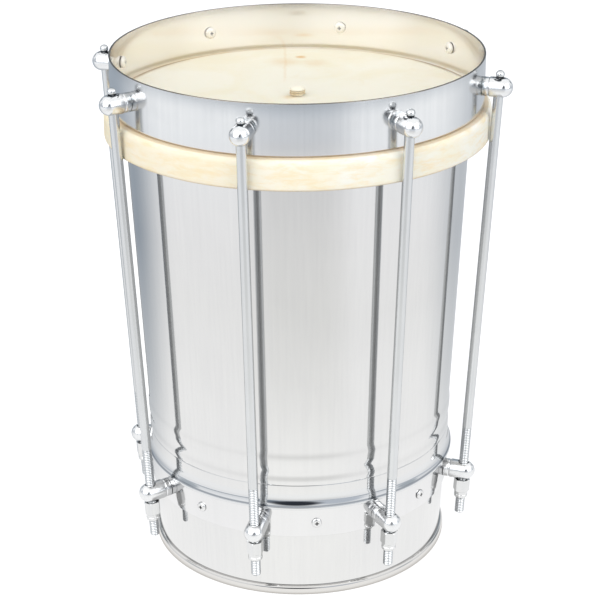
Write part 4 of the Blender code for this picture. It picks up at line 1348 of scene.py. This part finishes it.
def floor_paint():
    """White studio floor with the drum's soft shadow; metal mirrors its tones by place."""
    paint = new_paint("floor_paint")
    place = paint.place()
    radius = paint.length_xy(place)
    share = paint.math("DIVIDE", radius, FLOOR_REACH)
    toward = paint.math("DIVIDE", paint.along(place, TO_CAMERA), radius)
    in_front = paint.spread(toward, 0.78, 0.99)
    tone = paint.mix(in_front, paint.ramp(share, FLOOR_SIDE), paint.ramp(share, FLOOR_FRONT))
    across = paint.math("DIVIDE", paint.along(place, TO_RIGHT), radius)
    to_right = paint.spread(across, -0.4, 0.4, 0.0, 0.30)
    behind = paint.mix(to_right, paint.ramp(share, FLOOR_BACK), (1.0, 1.0, 1.0))
    tone = paint.mix(paint.spread(toward, 0.1, -0.8), tone, behind)
    far = paint.spread(radius, FLOOR_REACH, 0.6 * FAR_REACH)
    tone = paint.mix(far, tone, horizon_tone(paint, toward))
    # Painted contact shadow round the foot, in the tones that the metal mirrors.
    clear = paint.spread(radius, SHELL_FOOT_R + 1 * MM, SHELL_FOOT_R + 7 * MM)
    tone = paint.mix(clear, FLOOR_CONTACT_SHADOW, tone)
    rays = paint.node("ShaderNodeLightPath").outputs
    matt = paint.node("ShaderNodeBsdfDiffuse", {"Color": FLOOR_MATT})
    white = paint.node("ShaderNodeEmission", {"Strength": paint.times(rays["Is Camera Ray"], FLOOR_WHITE)})
    lit = paint.node("ShaderNodeAddShader", {0: matt.outputs[0], 1: white.outputs[0]})
    mirrored = paint.node("ShaderNodeEmission", {"Color": tone, "Strength": mirror_strength(paint, rays)})
    shaders = {0: rays["Is Glossy Ray"], 1: lit.outputs[0], 2: mirrored.outputs[0]}
    chosen = paint.node("ShaderNodeMixShader", shaders)
    paint.node("ShaderNodeOutputMaterial", {0: chosen.outputs[0]})
    return paint.owner


def mirror_strength(paint, rays):
    """How much is left of the studio's tones after each further bounce between polished faces."""
    further = paint.math("MAXIMUM", paint.minus(rays["Glossy Depth"], 1.0), 0.0)
    return paint.math("POWER", MIRROR_KEEP, further)


def make_floor():
    group = bmesh.new()
    bmesh.ops.create_grid(group, x_segments=2, y_segments=2, size=FAR_REACH)
    mesh = mesh_of("floor", group)
    mesh.materials.append(floor_paint())
    floor = add_object("floor", mesh)


def make_world():
    """Studio surroundings: white for the camera, soft grey tones for light and mirrored rays."""
    world = bpy.data.worlds.new("studio")
    bpy.context.scene.world = world
    paint = Paint(world)
    way = paint.node("ShaderNodeTexCoord").outputs["Generated"]
    height = paint.height(way)
    above = paint.spread(height, 0.04, 0.08)
    horizon = horizon_tone(paint, paint.along(way, TO_CAMERA))
    tone = paint.mix(above, horizon, paint.ramp(height, WORLD_TONES))
    for aim, reach, dark in DARK_PATCHES:
        edge = math.cos(math.radians(reach))
        core = math.cos(math.radians(reach * PATCH_CORE))
        tone = paint.mix(paint.spread(paint.along(way, aim), edge, core), tone, dark)
    rays = paint.node("ShaderNodeLightPath").outputs
    seen = paint.mix(rays["Is Camera Ray"], tone, (1.0, 1.0, 1.0))
    shown = {"Color": seen, "Strength": mirror_strength(paint, rays)}
    background = paint.node("ShaderNodeBackground", shown)
    paint.node("ShaderNodeOutputWorld", {0: background.outputs[0]})


def aim_from(azimuth_deg, elevation_deg):
    """Direction at this angle from the camera's side of the drum, counted to the right."""
    level = Matrix.Rotation(math.radians(azimuth_deg), 3, "Z") @ TO_CAMERA
    up = math.radians(elevation_deg)
    return level * math.cos(up) + Vector((0, 0, math.sin(up)))


# Tones of the studio from the horizon up, by the sine of the elevation
HORIZON = (0.40, 0.43, 0.47)
HORIZON_BACK = (0.52, 0.55, 0.59)
WORLD_TONES = ((0.08, (0.75, 0.77, 0.79)), (0.3, (0.85, 0.86, 0.88)), (0.6, (0.95, 0.96, 0.97)),
               (1.0, (1.0, 1.0, 1.0)))

# Dark parts of the studio that the metal mirrors: direction, reach in degrees and tone
PATCH_CORE = 0.5
DARK_PATCHES = (
    (aim_from(28, 14), 22.0, (0.52, 0.56, 0.62)),
    (aim_from(-24, 8), 14.0, (0.20, 0.23, 0.27)),
    (aim_from(-3, 17), 22.0, (0.03, 0.035, 0.045)),
    (aim_from(180, 26), 38.0, (0.26, 0.30, 0.34)),
    (aim_from(84, 12), 12.0, (0.42, 0.46, 0.50)),
    (aim_from(-88, 12), 12.0, (0.42, 0.46, 0.50)),
    (aim_from(130, 18), 13.0, (0.18, 0.21, 0.23)),
    (aim_from(-134, 18), 13.0, (0.18, 0.21, 0.23)),
)


def make_softbox(name, azimuth_deg, elevation_deg, distance, size, power):
    """A square area light that faces the drum and that the shell doesn't mirror."""
    data = bpy.data.lights.new(name, "AREA")
    data.size = size
    data.energy = power
    lamp = add_object(name, data)
    lamp.visible_camera = False
    aim = aim_from(azimuth_deg, elevation_deg)
    centre = Vector((0, 0, SHELL_HEIGHT / 2))
    lamp.location = centre + aim * distance
    lamp.rotation_mode = "QUATERNION"
    lamp.rotation_quaternion = (-aim).to_track_quat("-Z", "Y")
    unlit = bpy.data.collections.new(name + "_leaves_out")
    unlit.objects.link(bpy.data.objects["shell_surface"])
    unlit.collection_objects[0].light_linking.link_state = "EXCLUDE"
    lamp.light_linking.receiver_collection = unlit


def make_studio():
    make_camera()
    make_floor()
    make_world()
    make_softbox("key_light", -38, 32, 1.6, 1.8, 13.0)
    make_softbox("fill_light", 50, 25, 1.8, 1.6, 10.0)
    bpy.context.scene.view_settings.view_transform = "Standard"


dress_rings()
dress_fittings()
dress_stick()
make_studio()
